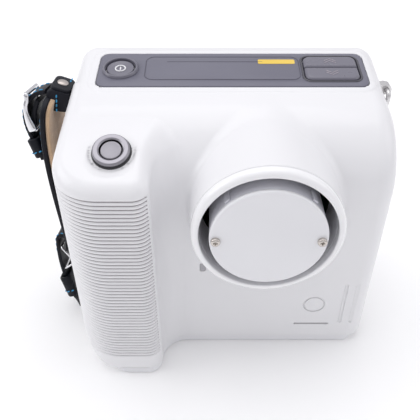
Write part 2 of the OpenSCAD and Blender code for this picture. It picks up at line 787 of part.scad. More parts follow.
module cross_wire(x, z) {
    translate([x, wire_y, z]) rotate([90, 0, 0]) cylinder(r = wire_r, h = 2 * wire_y);
}

module wire_eye(x, z) {
    translate([x, z, 0]) cylinder(r = wire_r + 0.12, h = 1.1);
}

module wire_leg(turn, long) {
    translate([lug_eye[0], lug_eye[1], 0.1]) rotate([0, 0, turn]) translate([0, -0.42, 0])
        cube([long, 0.84, 0.9]);
}

module lower_ring() {
    color([0.85, 0.85, 0.87]) on_strap() union() {
        cross_wire(lug_eye[0], lug_eye[1]);
        cross_wire(wire_top[0], wire_top[1]);
        cross_wire(wire_low[0], wire_low[1]);
        for (s = [-1, 1]) translate([0, s * wire_y + 0.55, 0]) rotate([90, 0, 0]) {
            wire_eye(lug_eye[0], lug_eye[1]);
            wire_eye(wire_top[0], wire_top[1]);
            wire_eye(wire_low[0], wire_low[1]);
            wire_leg(124.86, 10.85);
            wire_leg(214.16, 6.77);
        }
    }
}

front_shell();
rear_cover();
base_cover();
rubber_feet();
base_screws();
base_blocks();
shell_screws();
tripod_insert();
cone_ring();
drum();
front_plate();
plate_screws();
plate_clips();
cone_floor();
tank();
tank_lid();
beam_filter();
collimator();
glass_tube();
anode();
cathode();
hv_transformer();
drive_board();
drive_caps();
control_board();
panel_switches();
battery_pack();
battery_frame();
charge_socket();
top_panel();
status_strip();
power_bezel();
power_button();
power_mark();
key_up();
key_down();
key_bezel();
key_marks_up();
key_marks_down();
exposure_bezel();
exposure_button();
exposure_switch();
display_lens();
display_module();
slot_insert();
pilot_lens();
ring_lug();
ring_loop();
strap_pad();
pad_lining();
outer_strap();
upper_tab();
rivet();
upper_lug();
buckle_frame();
upper_keeper();
lower_strap();
lower_keeper();
lower_lug();
lower_ring();
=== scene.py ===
"""Handheld intraoral x-ray unit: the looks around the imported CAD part."""

import json
import math

import bmesh
import bpy
import numpy as np
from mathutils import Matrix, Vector


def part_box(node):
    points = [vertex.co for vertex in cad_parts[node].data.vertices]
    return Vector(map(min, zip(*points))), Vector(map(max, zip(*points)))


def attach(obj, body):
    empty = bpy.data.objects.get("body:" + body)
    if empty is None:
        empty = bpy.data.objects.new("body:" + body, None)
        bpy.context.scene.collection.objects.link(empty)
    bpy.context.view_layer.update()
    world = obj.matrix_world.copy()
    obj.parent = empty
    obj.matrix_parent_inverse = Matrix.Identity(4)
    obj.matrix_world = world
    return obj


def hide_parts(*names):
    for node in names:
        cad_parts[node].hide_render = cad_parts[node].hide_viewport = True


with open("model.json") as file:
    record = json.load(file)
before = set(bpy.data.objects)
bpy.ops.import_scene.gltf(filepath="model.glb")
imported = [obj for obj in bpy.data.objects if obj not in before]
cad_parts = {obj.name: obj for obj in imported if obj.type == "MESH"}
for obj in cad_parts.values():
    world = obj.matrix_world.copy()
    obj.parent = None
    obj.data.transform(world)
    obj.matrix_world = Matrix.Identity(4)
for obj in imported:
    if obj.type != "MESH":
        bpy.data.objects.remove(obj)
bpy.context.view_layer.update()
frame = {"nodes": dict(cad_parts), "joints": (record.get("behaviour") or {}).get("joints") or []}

MM = 0.001
NODES = frame["nodes"]


def node_box(name):
    """Lowest and highest corner of a CAD node, in millimetres."""
    low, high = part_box(name)
    return np.array(low) / MM, np.array(high) / MM


def joint_axis(name):
    for joint in frame["joints"]:
        if joint["name"] == name:
            return np.array(joint["axis"], float)
    raise KeyError(name)


# ---------------------------------------------------------------- driving sizes, from the frame (mm)
SHELL_HIGH = node_box("front_shell")[1]
COVER_LOW, COVER_HIGH = node_box("rear_cover")
RING_LOW, RING_HIGH = node_box("cone_ring")
BODY_HW = SHELL_HIGH[0]
GRIP_FRONT = 61.0
MAIN_FRONT = 41.0
REAR = COVER_HIGH[1]
SEAM_Y = COVER_LOW[1] - 0.1
BASE_TOP = 5.0
WALL = 2.6
CONE_X = (RING_LOW[0] + RING_HIGH[0]) / 2
CONE_Z = (RING_LOW[2] + RING_HIGH[2]) / 2
RIM_R = (RING_HIGH[0] - RING_LOW[0]) / 2
RIM_Y = -RING_LOW[1]
RIM_RI = 27.8
DRUM_R = 23.5
GRIP_RIGHT = -31.5
GRIP_CORNER = 20.0
HEEL_R = 28.0
FOREHEAD_R = 28.0
DECK_DROP = 1.0
EDGE_R = 9.0
GROOVE_COUNT = 49
GROOVE_PITCH = 1.94
GROOVE_Z = 14.5
GROOVE_DEPTH = 0.85
GROOVE_HALF = 0.97
PANEL_LOW, PANEL_HIGH = node_box("top_panel")
PANEL_C = (PANEL_LOW + PANEL_HIGH) / 2
PANEL_W = PANEL_HIGH[0] - PANEL_LOW[0]
PANEL_D = 26.2
SHELF_C = np.array([-47.0, -41.5, 118.6])
SHELF_EDGE = 112.8
SHELF_SLOPE = math.radians(16)
BOSS_X = 63.2
BOSS_Z = (24.0, 106.0)
SLOT_X = 43.2
SLOT_Z = 14.6
MARK_Z = 28.9
PILOT_X = -11.5
PILOT_Z = 54.4
RAIL_X = (57.5, 63.0)
RAIL_Z = 29.2
JACK_Y = 8.0
JACK_Z = 22.0
THREAD_Y = -4.0
FOOT_AT = ((-46, -50), (-40, 28), (56, -28), (56, 28))
BASE_SCREW_AT = ((-28, 31.5), (-38.8, -53.8), (38, -34), (38, 31.5))
STRAP_TILT = math.radians(12.0)
STRAP_PIVOT = np.array([0.0, -3.0, 70.0])


# ---------------------------------------------------------------- local frames (mm)
class Place:
    """A local frame: columns of rot are its axes, at origin."""

    def __init__(self, origin, x_axis, y_axis, z_axis):
        self.origin = np.array(origin, float)
        self.rot = np.array([x_axis, y_axis, z_axis], float).T

    def out(self, points):
        return np.asarray(points, float) @ self.rot.T + self.origin

    def local(self, x, y, z):
        p = (x - self.origin[0], y - self.origin[1], z - self.origin[2])
        return [sum(self.rot[i, k] * p[i] for i in range(3)) for k in range(3)]

    def moved(self, dx=0.0, dy=0.0, dz=0.0):
        return Place(self.out([dx, dy, dz]), *self.rot.T)


def tilted(origin, normal):
    """A frame with X along the row's X and Z along normal."""
    normal = normal / np.linalg.norm(normal)
    return Place(origin, [1, 0, 0], np.cross(normal, [1, 0, 0]), normal)


TOP_N = -joint_axis("power_press")
SHELF_N = -joint_axis("exposure_press")
PANEL = tilted(PANEL_C, TOP_N)
TOP_W = 0.3
SHELF = tilted(SHELF_C, SHELF_N)
CONE = Place([CONE_X, 0, CONE_Z], [1, 0, 0], [0, 0, 1], [0, -1, 0])
STRAP = Place(
    STRAP_PIVOT,
    [1, 0, 0],
    [0, math.cos(STRAP_TILT), -math.sin(STRAP_TILT)],
    [0, math.sin(STRAP_TILT), math.cos(STRAP_TILT)],
).moved(0, 0, -STRAP_PIVOT[2])


# ---------------------------------------------------------------- materials
def material(name):
    mat = bpy.data.materials.new(name)
    mat.use_nodes = True
    tree = mat.node_tree
    bsdf = tree.nodes["Principled BSDF"]
    return mat, tree, bsdf


def put(tree, kind, **values):
    made = tree.nodes.new(kind)
    for key, value in values.items():
        if key in made.inputs:
            made.inputs[key].default_value = value
        else:
            setattr(made, key, value)
    return made


def object_coords(tree, scale=(1, 1, 1)):
    coords = put(tree, "ShaderNodeTexCoord")
    mapping = put(tree, "ShaderNodeMapping")
    mapping.inputs["Scale"].default_value = scale
    tree.links.new(coords.outputs["Object"], mapping.inputs["Vector"])
    return mapping.outputs["Vector"]


def noise(tree, vector, scale, detail=3.0, rough=0.5):
    made = put(tree, "ShaderNodeTexNoise", Scale=scale, Detail=detail, Roughness=rough)
    tree.links.new(vector, made.inputs["Vector"])
    return made.outputs["Fac"]


def ramp(tree, factor, stops):
    made = put(tree, "ShaderNodeValToRGB")
    elements = made.color_ramp.elements
    while len(elements) < len(stops):
        elements.new(0.5)
    for element, (at, colour) in zip(elements, stops):
        element.position = at
        element.color = (*colour, 1)
    tree.links.new(factor, made.inputs["Fac"])
    return made.outputs["Color"]


def bump(tree, height, strength, distance, normal=None):
    made = put(tree, "ShaderNodeBump", Strength=strength, Distance=distance)
    tree.links.new(height, made.inputs["Height"])
    if normal is not None:
        tree.links.new(normal, made.inputs["Normal"])
    return made.outputs["Normal"]


def range_of(tree, factor, low, high):
    made = put(tree, "ShaderNodeMapRange")
    made.inputs["To Min"].default_value = low
    made.inputs["To Max"].default_value = high
    tree.links.new(factor, made.inputs["Value"])
    return made.outputs["Result"]


def plastic(name, colour, rough, vary=0.012, coat=0.0, grain=0.04, grain_scale=1800.0):
    """Moulded plastic: faint tone drift, very fine grain and uneven gloss."""
    mat, tree, bsdf = material(name)
    vector = object_coords(tree)
    drift = noise(tree, vector, 18.0, 2.0)
    low = tuple(max(c - vary, 0) for c in colour)
    high = tuple(min(c + vary, 1) for c in colour)
    tree.links.new(ramp(tree, drift, [(0.3, low), (0.7, high)]), bsdf.inputs["Base Color"])
    fine = noise(tree, vector, grain_scale, 3.0)
    smudge = noise(tree, vector, 45.0, 4.0, 0.6)
    tree.links.new(range_of(tree, smudge, rough * 0.85, rough * 1.2), bsdf.inputs["Roughness"])
    tree.links.new(bump(tree, fine, grain, 0.0002), bsdf.inputs["Normal"])
    bsdf.inputs["Coat Weight"].default_value = coat
    bsdf.inputs["Coat Roughness"].default_value = 0.12
    return mat


def metal(name, colour, rough, brushed=0.0):
    """Metal with fine streaks in tone and gloss."""
    mat, tree, bsdf = material(name)
    vector = object_coords(tree, (900, 900, 900))
    lines = noise(tree, vector, 1.0, 3.0, 0.6)
    low = tuple(c * 0.93 for c in colour)
    tree.links.new(ramp(tree, lines, [(0.25, low), (0.75, colour)]), bsdf.inputs["Base Color"])
    tree.links.new(range_of(tree, lines, rough * 0.8, rough * 1.3), bsdf.inputs["Roughness"])
    bsdf.inputs["Metallic"].default_value = 1.0
    if brushed:
        tree.links.new(bump(tree, lines, brushed, 0.0001), bsdf.inputs["Normal"])
    return mat


def leather(name, colour, rough):
    """Smooth black leather: pebbled grain, fine creases, paler where it rubs."""
    mat, tree, bsdf = material(name)
    vector = object_coords(tree)
    cells = put(tree, "ShaderNodeTexVoronoi", Scale=1500.0)
    cells.feature = "DISTANCE_TO_EDGE"
    tree.links.new(vector, cells.inputs["Vector"])
    creases = noise(tree, vector, 260.0, 5.0, 0.65)
    worn = noise(tree, vector, 60.0, 4.0, 0.6)
    light = tuple(c * 2.0 + 0.006 for c in colour)
    tree.links.new(ramp(tree, worn, [(0.35, colour), (0.8, light)]), bsdf.inputs["Base Color"])
    tree.links.new(range_of(tree, worn, rough * 0.8, rough * 1.25), bsdf.inputs["Roughness"])
    grain = bump(tree, cells.outputs["Distance"], 0.35, 0.0003)
    tree.links.new(bump(tree, creases, 0.3, 0.0006, grain), bsdf.inputs["Normal"])
    bsdf.inputs["Specular IOR Level"].default_value = 0.22
    return mat


def suede(name, colour):
    """Napped suede: mottled, matt and soft-edged."""
    mat, tree, bsdf = material(name)
    vector = object_coords(tree)
    mottle = noise(tree, vector, 140.0, 6.0, 0.7)
    nap = noise(tree, vector, 2600.0, 4.0, 0.7)
    dark = tuple(c * 0.72 for c in colour)
    light = tuple(min(c * 1.18, 1) for c in colour)
    mixed = put(tree, "ShaderNodeMix", data_type="RGBA")
    mixed.inputs[0].default_value = 0.45
    tree.links.new(ramp(tree, mottle, [(0.3, dark), (0.7, light)]), mixed.inputs[6])
    tree.links.new(ramp(tree, nap, [(0.3, dark), (0.65, light)]), mixed.inputs[7])
    tree.links.new(mixed.outputs[2], bsdf.inputs["Base Color"])
    bsdf.inputs["Roughness"].default_value = 0.95
    bsdf.inputs["Sheen Weight"].default_value = 0.5
    bsdf.inputs["Sheen Roughness"].default_value = 0.6
    tree.links.new(bump(tree, nap, 0.6, 0.0006), bsdf.inputs["Normal"])
    return mat


def thread(name, colour):
    mat, tree, bsdf = material(name)
    vector = object_coords(tree)
    twist = put(tree, "ShaderNodeTexWave", Scale=900.0, Distortion=1.0)
    tree.links.new(vector, twist.inputs["Vector"])
    dark = tuple(c * 0.6 for c in colour)
    tree.links.new(ramp(tree, twist.outputs["Fac"], [(0.2, dark), (0.8, colour)]), bsdf.inputs["Base Color"])
    bsdf.inputs["Roughness"].default_value = 0.55
    tree.links.new(bump(tree, twist.outputs["Fac"], 0.5, 0.0002), bsdf.inputs["Normal"])
    return mat


def glass(name, colour, rough=0.05):
    mat, tree, bsdf = material(name)
    vector = object_coords(tree)
    smudge = noise(tree, vector, 60.0, 4.0)
    tree.links.new(range_of(tree, smudge, rough * 0.7, rough * 1.6), bsdf.inputs["Roughness"])
    bsdf.inputs["Base Color"].default_value = (*colour, 1)
    bsdf.inputs["Coat Weight"].default_value = 0.6
    return mat


WHITE = plastic("white_moulding", (0.797, 0.795, 0.808), 0.3, 0.006, 0.2, 0.012, 900.0)
WHITE_BASE = plastic("white_base", (0.80, 0.80, 0.82), 0.34, 0.008, 0.1, 0.04)
WHITE_RING = plastic("white_ring", (0.88, 0.88, 0.89), 0.2, 0.005, 0.4, 0.02)
# Painted shade: a darker plastic laid on the groove floors for the shadow in the grip grooves.
GROOVE_PAINTED_SHADE = plastic("groove_painted_shade", (0.4, 0.375, 0.39), 0.5, 0.006, 0.0, 0.012, 900.0)
PLATE = plastic("plate_white", (0.8, 0.8, 0.82), 0.36, 0.02, 0.0, 0.05)
DRUM = plastic("drum_grey_white", (0.66, 0.66, 0.71), 0.4, 0.015)
PANEL_GREY = plastic("panel_grey", (0.152, 0.15, 0.192), 0.42, 0.01, 0.0, 0.12, 3000.0)
KEY_GREY = plastic("key_grey", (0.145, 0.14, 0.178), 0.28, 0.008, 0.35, 0.05)
# Painted shade: near-black for the shadowed gap round the keys.
KEY_GAP_PAINTED_SHADE = plastic("key_gap_painted_shade", (0.05, 0.048, 0.062), 0.35, 0.004, 0.2)
KEY_MARK = plastic("key_mark_grey", (0.4, 0.36, 0.4), 0.4, 0.01)
PANEL_LINE = plastic("panel_line", (0.09, 0.088, 0.12), 0.5)
SLOT_GREY = plastic("slot_grey", (0.42, 0.41, 0.43), 0.4)
DARK = plastic("dark_plastic", (0.018, 0.018, 0.022), 0.35, 0.004)
PIT = plastic("recess_dark", (0.02, 0.02, 0.026), 0.6, 0.004)
RUBBER = plastic("rubber_black", (0.022, 0.022, 0.024), 0.75, 0.004, 0.0, 0.25, 2500.0)
AMBER = plastic("amber_light", (0.8, 0.55, 0.06), 0.3, 0.03, 0.3)
PRINT = plastic("white_print", (0.85, 0.85, 0.87), 0.5)
BOARD = plastic("board_green", (0.02, 0.13, 0.06), 0.35, 0.01)
CELL = plastic("cell_sleeve", (0.03, 0.09, 0.25), 0.35, 0.01)
POTTING = plastic("potting_brown", (0.07, 0.045, 0.03), 0.5, 0.01)
CHROME = metal("chrome", (0.82, 0.82, 0.84), 0.08)
CHROME_SOFT = metal("satin_chrome", (0.7, 0.69, 0.69), 0.28, 0.03)
RIVET = metal("rivet_nickel", (0.55, 0.5, 0.47), 0.3, 0.05)
STEEL = metal("screw_steel", (0.62, 0.58, 0.54), 0.22, 0.08)
SATIN = metal("button_satin", (0.345, 0.335, 0.365), 0.34, 0.06)
SATIN_CAP = metal("button_cap_satin", (0.31, 0.3, 0.325), 0.42, 0.05)
TANK = metal("tank_metal", (0.45, 0.47, 0.5), 0.4, 0.1)
LEAD = metal("lead_grey", (0.16, 0.165, 0.18), 0.55, 0.1)
BRASS = metal("brass", (0.62, 0.45, 0.18), 0.3, 0.1)
COPPER = metal("copper", (0.62, 0.3, 0.16), 0.3, 0.1)
ALUMINIUM = metal("aluminium", (0.6, 0.6, 0.62), 0.35, 0.1)
LEATHER = leather("black_leather", (0.0035, 0.004, 0.0075), 0.42)
SUEDE = suede("tan_suede", (0.58, 0.39, 0.23))
THREAD = thread("blue_thread", (0.06, 0.42, 0.78))
LENS = glass("display_lens", (0.012, 0.013, 0.017))
TUBE_GLASS = glass("tube_glass", (0.6, 0.7, 0.7), 0.08)

for _node, _mat in {
    "base_screws": STEEL, "base_blocks": WHITE_BASE, "shell_screws": STEEL, "tripod_insert": BRASS,
    "rubber_feet": RUBBER, "drum": DRUM, "plate_clips": DRUM, "cone_floor": PIT, "tank": TANK,
    "tank_lid": TANK, "beam_filter": ALUMINIUM, "collimator": LEAD, "glass_tube": TUBE_GLASS,
    "anode": COPPER, "cathode": STEEL, "hv_transformer": POTTING, "drive_board": BOARD,
    "drive_caps": DARK, "control_board": BOARD, "panel_switches": DARK, "battery_pack": CELL,
    "battery_frame": DARK, "charge_socket": DARK, "exposure_switch": DARK, "display_module": DARK,
    "slot_insert": SLOT_GREY, "pilot_lens": SLOT_GREY, "upper_lug": STEEL, "lower_lug": STEEL,
    "display_lens": LENS,
    "ring_lug": CHROME_SOFT, "base_cover": WHITE_BASE, "status_strip": AMBER, "power_mark": PRINT,
    "key_marks_up": PRINT, "key_marks_down": PRINT,
}.items():
    NODES[_node].data.materials.clear()
    NODES[_node].data.materials.append(_mat)


# ---------------------------------------------------------------- mesh helpers
def finish_mesh(mesh, name, mat, body, replaces=(), sharp=None):
    mesh.validate()
    mesh.materials.append(mat)
    obj = bpy.data.objects.new(name, mesh)
    bpy.context.scene.collection.objects.link(obj)
    mesh.polygons.foreach_set("use_smooth", [True] * len(mesh.polygons))
    if sharp is not None:
        mesh.set_sharp_from_angle(angle=math.radians(sharp))
    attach(obj, body)
    if replaces:
        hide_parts(*replaces)
    return obj


def solid(name, points, faces, mat, body="housing", slot="white_shell", replaces=(), sharp=38):
    """A mesh piece from points in mm and faces."""
    mesh = bpy.data.meshes.new(name)
    mesh.from_pydata([tuple(p) for p in np.asarray(points, float) * MM], [], faces)
    return finish_mesh(mesh, name, mat, body, replaces, sharp)


class Parts:
    """Collects several closed shapes into one piece."""

    def __init__(self):
        self.points = []
        self.faces = []

    def add(self, points, faces):
        start = len(self.points)
        self.points.extend(np.asarray(points, float))
        self.faces.extend([tuple(i + start for i in f) for f in faces])

    def piece(self, name, mat, **facts):
        return solid(name, self.points, self.faces, mat, **facts)


def loft(rings, closed=False):
    """Faces between equal rings; ends are capped unless closed."""
    points = np.concatenate(rings)
    n = len(rings[0])
    faces = []
    count = len(rings)
    for i in range(count if closed else count - 1):
        a, b = i * n, ((i + 1) % count) * n
        for j in range(n):
            k = (j + 1) % n
            faces.append((a + j, a + k, b + k, b + j))
    if not closed:
        faces.append(tuple(range(n))[::-1])
        faces.append(tuple(range((count - 1) * n, count * n)))
    return points, faces


def round_corners(points, radii, steps=6):
    """A 2D outline with its corners rounded by arcs."""
    out = []
    n = len(points)
    for i, radius in enumerate(radii):
        a, b, c = (np.array(points[(i + k) % n], float) for k in (-1, 0, 1))
        if radius <= 1e-6:
            out.append(b)
            continue
        u = (a - b) / np.linalg.norm(a - b)
        w = (c - b) / np.linalg.norm(c - b)
        half = math.acos(max(-1, min(1, float(u @ w)))) / 2
        mid = (u + w) / np.linalg.norm(u + w)
        centre = b + mid * radius / math.sin(half)
        p = b + u * radius / math.tan(half)
        q = b + w * radius / math.tan(half)
        a0 = math.atan2(*(p - centre)[::-1])
        turn = (math.atan2(*(q - centre)[::-1]) - a0 + 3 * math.pi) % (2 * math.pi) - math.pi
        for k in range(steps + 1):
            t = a0 + turn * k / steps
            out.append(centre + radius * np.array([math.cos(t), math.sin(t)]))
    return np.array(out)


def raised(outline, height):
    """A flat outline as 3D points at one height."""
    return np.column_stack([outline, np.full(len(outline), height)])


def circles(profile, place, segments):
    turn = np.linspace(0, 2 * math.pi, segments, endpoint=False)
    return [
        place.out(np.stack([r * np.cos(turn), r * np.sin(turn), np.full(segments, h)], 1))
        for r, h in profile
    ]


def revolve(profile, place, segments=96):
    """A closed surface of revolution about place's Z; profile is (radius, height), bottom to top."""
    return loft(circles(profile, place, segments))


def revolve_ring(profile, place, segments=96):
    """A ring: the closed outline profile turned about place's Z."""
    return loft(circles(profile, place, segments), closed=True)


def rounded_rect(w, h, r, inset=0.0, steps=8):
    hw, hh = w / 2 - inset, h / 2 - inset
    rr = max(r - inset, 0.08)
    cx, cy = hw - rr, hh - rr
    corners = [(cx, cy, 0), (-cx, cy, 90), (-cx, -cy, 180), (cx, -cy, 270)]
    out = []
    for px, py, start in corners:
        for k in range(steps + 1):
            t = math.radians(start + 90 * k / steps)
            out.append((px + rr * math.cos(t), py + rr * math.sin(t)))
    return np.array(out)


def edge_round(height, radius, steps=4, bottom=0.0):
    """(inset, height) pairs of a slab's side with rounded top (and bottom) edge."""
    out = []
    if bottom:
        for k in range(steps + 1):
            t = math.pi / 2 * k / steps
            out.append((bottom * (1 - math.sin(t)), bottom * (1 - math.cos(t))))
    else:
        out.append((0.0, 0.0))
    for k in range(steps + 1):
        t = math.pi / 2 * k / steps
        out.append((radius * (1 - math.cos(t)), height - radius + radius * math.sin(t)))
    return out


def slab(w, h, r, side, place, steps=8):
    rings = []
    for inset, z in side:
        flat = rounded_rect(w, h, r, inset, steps)
        rings.append(place.out(raised(flat, z)))
    return loft(rings)


def tube(path, radius, closed=False, sides=12):
    """A round tube along points in mm."""
    path = np.asarray(path, float)
    n = len(path)
    rings = []
    up = None
    for i in range(n):
        before = path[(i - 1) % n] if closed or i else path[0]
        after = path[(i + 1) % n] if closed or i < n - 1 else path[-1]
        along = (after - before) / np.linalg.norm(after - before)
        if up is None:
            up = np.array([0.0, 1.0, 0.0]) if abs(along[1]) < 0.9 else np.array([1.0, 0.0, 0.0])
        side = np.cross(along, up)
        side /= np.linalg.norm(side)
        up = np.cross(side, along)
        turn = np.linspace(0, 2 * math.pi, sides, endpoint=False)
        rings.append(path[i] + radius * (np.cos(turn)[:, None] * side + np.sin(turn)[:, None] * up))
    return loft(rings, closed=closed)


def capsule(a, b, radius):
    """A stitch: a thread between two points with rounded ends."""
    a, b = np.array(a, float), np.array(b, float)
    length = np.linalg.norm(b - a)
    along = (b - a) / length
    path = [a + along * length * t for t in (0.0, 0.06, 0.2, 0.5, 0.8, 0.94, 1.0)]
    widths = [0.15, 0.62, 0.92, 1.0, 0.92, 0.62, 0.15]
    ref = np.array([0.0, 0.0, 1.0]) if abs(along[2]) < 0.9 else np.array([1.0, 0.0, 0.0])
    side = np.cross(along, ref)
    side /= np.linalg.norm(side)
    up = np.cross(side, along)
    turn = np.linspace(0, 2 * math.pi, 8, endpoint=False)
    circle = np.cos(turn)[:, None] * side + np.sin(turn)[:, None] * up
    rings = [p + radius * w * circle for p, w in zip(path, widths)]
    return loft(rings)


# ---------------------------------------------------------------- the white shells, as one signed distance
def round_max(a, b, r):
    return np.minimum(np.maximum(a, b), -r) + np.hypot(np.maximum(a + r, 0), np.maximum(b + r, 0))


def soft_max(a, b, reach):
    """Larger of a and b, blended over a band where they are nearly equal."""
    close = np.maximum(reach - np.abs(a - b), 0) / reach
    return np.maximum(a, b) + close * close * reach / 4


def round_min(a, b, r):
    return -round_max(-a, -b, r)


def smooth(x, low, high):
    t = np.clip((x - low) / (high - low), 0, 1)
    return t * t * (3 - 2 * t)


def lower_corner(side, z, radius):
    """Distance past a side wall that turns under with a radius and then runs straight on down.
    side is the distance past the wall."""
    dx = side + radius
    dz = radius - z
    end = math.asin((radius - BASE_TOP) / radius)
    nx, nz = math.cos(end), math.sin(end)
    arc = np.hypot(dx, dz) - radius
    straight = dx * nx + dz * nz - radius
    past = np.arctan2(dz, np.maximum(dx, 1e-6)) > end
    return np.where(dz <= 0, side, np.where((dx <= 0) | past, straight, arc))


def rect2(u, v, w, h, r):
    du = np.abs(u) - w / 2 + r
    dv = np.abs(v) - h / 2 + r
    return np.hypot(np.maximum(du, 0), np.maximum(dv, 0)) + np.minimum(np.maximum(du, dv), 0) - r


def body_distance(x, y, z):
    """The body without its cone: main block, grip lobe and the fillet between them."""
    top = PANEL.local(x, y, z)[2] - TOP_W
    heel = np.maximum(lower_corner(-BODY_HW - x, z, HEEL_R), lower_corner(x - BODY_HW, z, 8.0))
    nose = round_max(-MAIN_FRONT - y, top, FOREHEAD_R)
    main = round_max(round_max(nose, y - REAR, 10.0), np.abs(x) - BODY_HW, EDGE_R)
    main = np.maximum(main, heel)
    thumb = (z - SHELF_EDGE) * math.cos(SHELF_SLOPE) - (y + GRIP_FRONT) * math.sin(SHELF_SLOPE)
    crown = soft_max(thumb, top + DECK_DROP, 2.4)
    front = -GRIP_FRONT - y
    right = round_max(front, x - GRIP_RIGHT, 7.0)
    lobe = np.maximum(np.maximum(round_max(front, -BODY_HW - x, GRIP_CORNER), right), y - 8.0)
    web = round_min(right, nose, 12.0)
    web = np.maximum(np.maximum(web, GRIP_RIGHT - 10.0 - x), np.maximum(x - 20.0, y - 8.0))
    lobe = np.maximum(round_max(np.minimum(lobe, web), crown, 5.5), heel)
    return np.minimum(main, lobe)


def ribs(x, y, z):
    """Depth of the rounded grip grooves, 0 elsewhere."""
    phase = (z - GROOVE_Z) / GROOVE_PITCH
    number = np.round(phase)
    inside = (number >= 0) & (number < GROOVE_COUNT)
    off = np.abs(phase - number) * GROOVE_PITCH / GROOVE_HALF
    cut = np.clip(1 - off, 0, 1) ** 2
    right_end = 1 - smooth(x, GRIP_RIGHT - 1.5, GRIP_RIGHT - 0.7)
    left_end = 1 - smooth(y, -34.0, -24.0)
    return GROOVE_DEPTH * cut * inside * right_end * left_end


def shell_distance(x, y, z):
    raw = body_distance(x, y, z)
    radial = np.hypot(x - CONE_X, z - CONE_Z)
    back = np.maximum(y + RIM_Y - 4.0, 0)
    flare = RIM_R + (0.06 * back + 0.0006 * back * back) * (1 - 0.8 * smooth(z - CONE_Z, 6, 30))
    barrel = round_max((radial - flare) * 0.99, -(RIM_Y - 4.25) - y, 0.5)
    barrel = np.maximum(barrel, y - 2.0)
    outer = round_min(raw, barrel, 2.5)
    u, v, w = PANEL.local(x, y, z)
    plateau = rect2(u, v, PANEL_W + 7.5, PANEL_D + 7.0, 8.0)
    outer = outer - 0.35 * (1 - smooth(plateau, -0.6, 0.6)) * (w > -6)
    a, b, c = SHELF.local(x, y, z)
    rho = np.hypot(a, b)
    dish = np.maximum(rho - 9.0 - 3.6 * smooth(c, -1.2, 1.6), -1.25 - c)
    outer = round_max(outer, -dish, 1.0)
    outer = outer + ribs(x, y, z)
    d = np.maximum(outer, -(raw + WALL))
    boss_x = np.abs(x) - BOSS_X
    for z0 in BOSS_Z:
        d = np.minimum(d, np.maximum(np.hypot(boss_x, z - z0) - 4.6, np.maximum(15.9 - y, y - 31.9)))
        d = np.maximum(d, -np.maximum(np.hypot(boss_x, z - z0) - 1.3, 15.9 - y))
    d = np.minimum(d, np.maximum(np.maximum(rho - 7.2, outer), -9.0 - c))
    d = np.maximum(d, -np.maximum(radial - RIM_RI, y + 20.0))
    d = np.maximum(d, -np.maximum(radial - 26.2, y - 6.0))
    d = np.maximum(d, -np.maximum(rect2(u, v, PANEL_W + 0.5, PANEL_D + 0.5, 4.2), TOP_W - 1.25 - w))
    d = np.maximum(d, -np.maximum(rho - 7.5, -2.6 - c))
    d = np.maximum(d, -np.maximum(rho - 4.67, -12.0 - c))
    front_cut = y + MAIN_FRONT
    slot = np.maximum(rect2(x - SLOT_X, z - SLOT_Z, 17.6, 1.3, 0.6), front_cut - 4)
    for gx in RAIL_X:
        slot = np.minimum(slot, np.maximum(rect2(x - gx, z - RAIL_Z, 1.6, 27.6, 0.75), front_cut - 0.45))
    mark = np.abs(np.hypot(x - SLOT_X, z - MARK_Z) - 5.0) - 0.4
    slot = np.minimum(slot, np.maximum(mark, front_cut - 0.6))
    slot = np.minimum(slot, np.maximum(rect2(x - PILOT_X, z - PILOT_Z, 2.8, 5.2, 1.3), front_cut - 4))
    d = np.maximum(d, -np.maximum(slot, y + 30.0))
    d = np.maximum(d, -np.maximum(np.hypot(y - JACK_Y, z - JACK_Z) - 5.2, 60.0 - x))
    return d


def cover_distance(x, y, z):
    raw = body_distance(x, y, z)
    d = np.maximum(raw, -(raw + WALL))
    boss_x = np.abs(x) - BOSS_X
    for z0 in BOSS_Z:
        ring = np.hypot(boss_x, z - z0)
        d = np.minimum(d, np.maximum(ring - 5.2, np.maximum(raw, 32.5 - y)))
        d = np.maximum(d, -np.maximum(ring - 3.1, 35.9 - y))
        d = np.maximum(d, -(ring - 1.7))
    d = np.maximum(d, -np.maximum(rect2(x, z - 84, 64.4, 42.4, 4.2), 36.8 - y))
    d = np.maximum(d, -rect2(x, z - 84, 58, 36, 3))
    return d


def spaced(*runs):
    """Grid lines: runs of (start, step), the last entry is the end."""
    out = []
    for (start, step), (stop, _) in zip(runs, runs[1:]):
        count = max(1, int(round((stop - start) / step)))
        out.extend(start + (stop - start) * k / count for k in range(count))
    out.append(runs[-1][0])
    return np.array(out, np.float32)


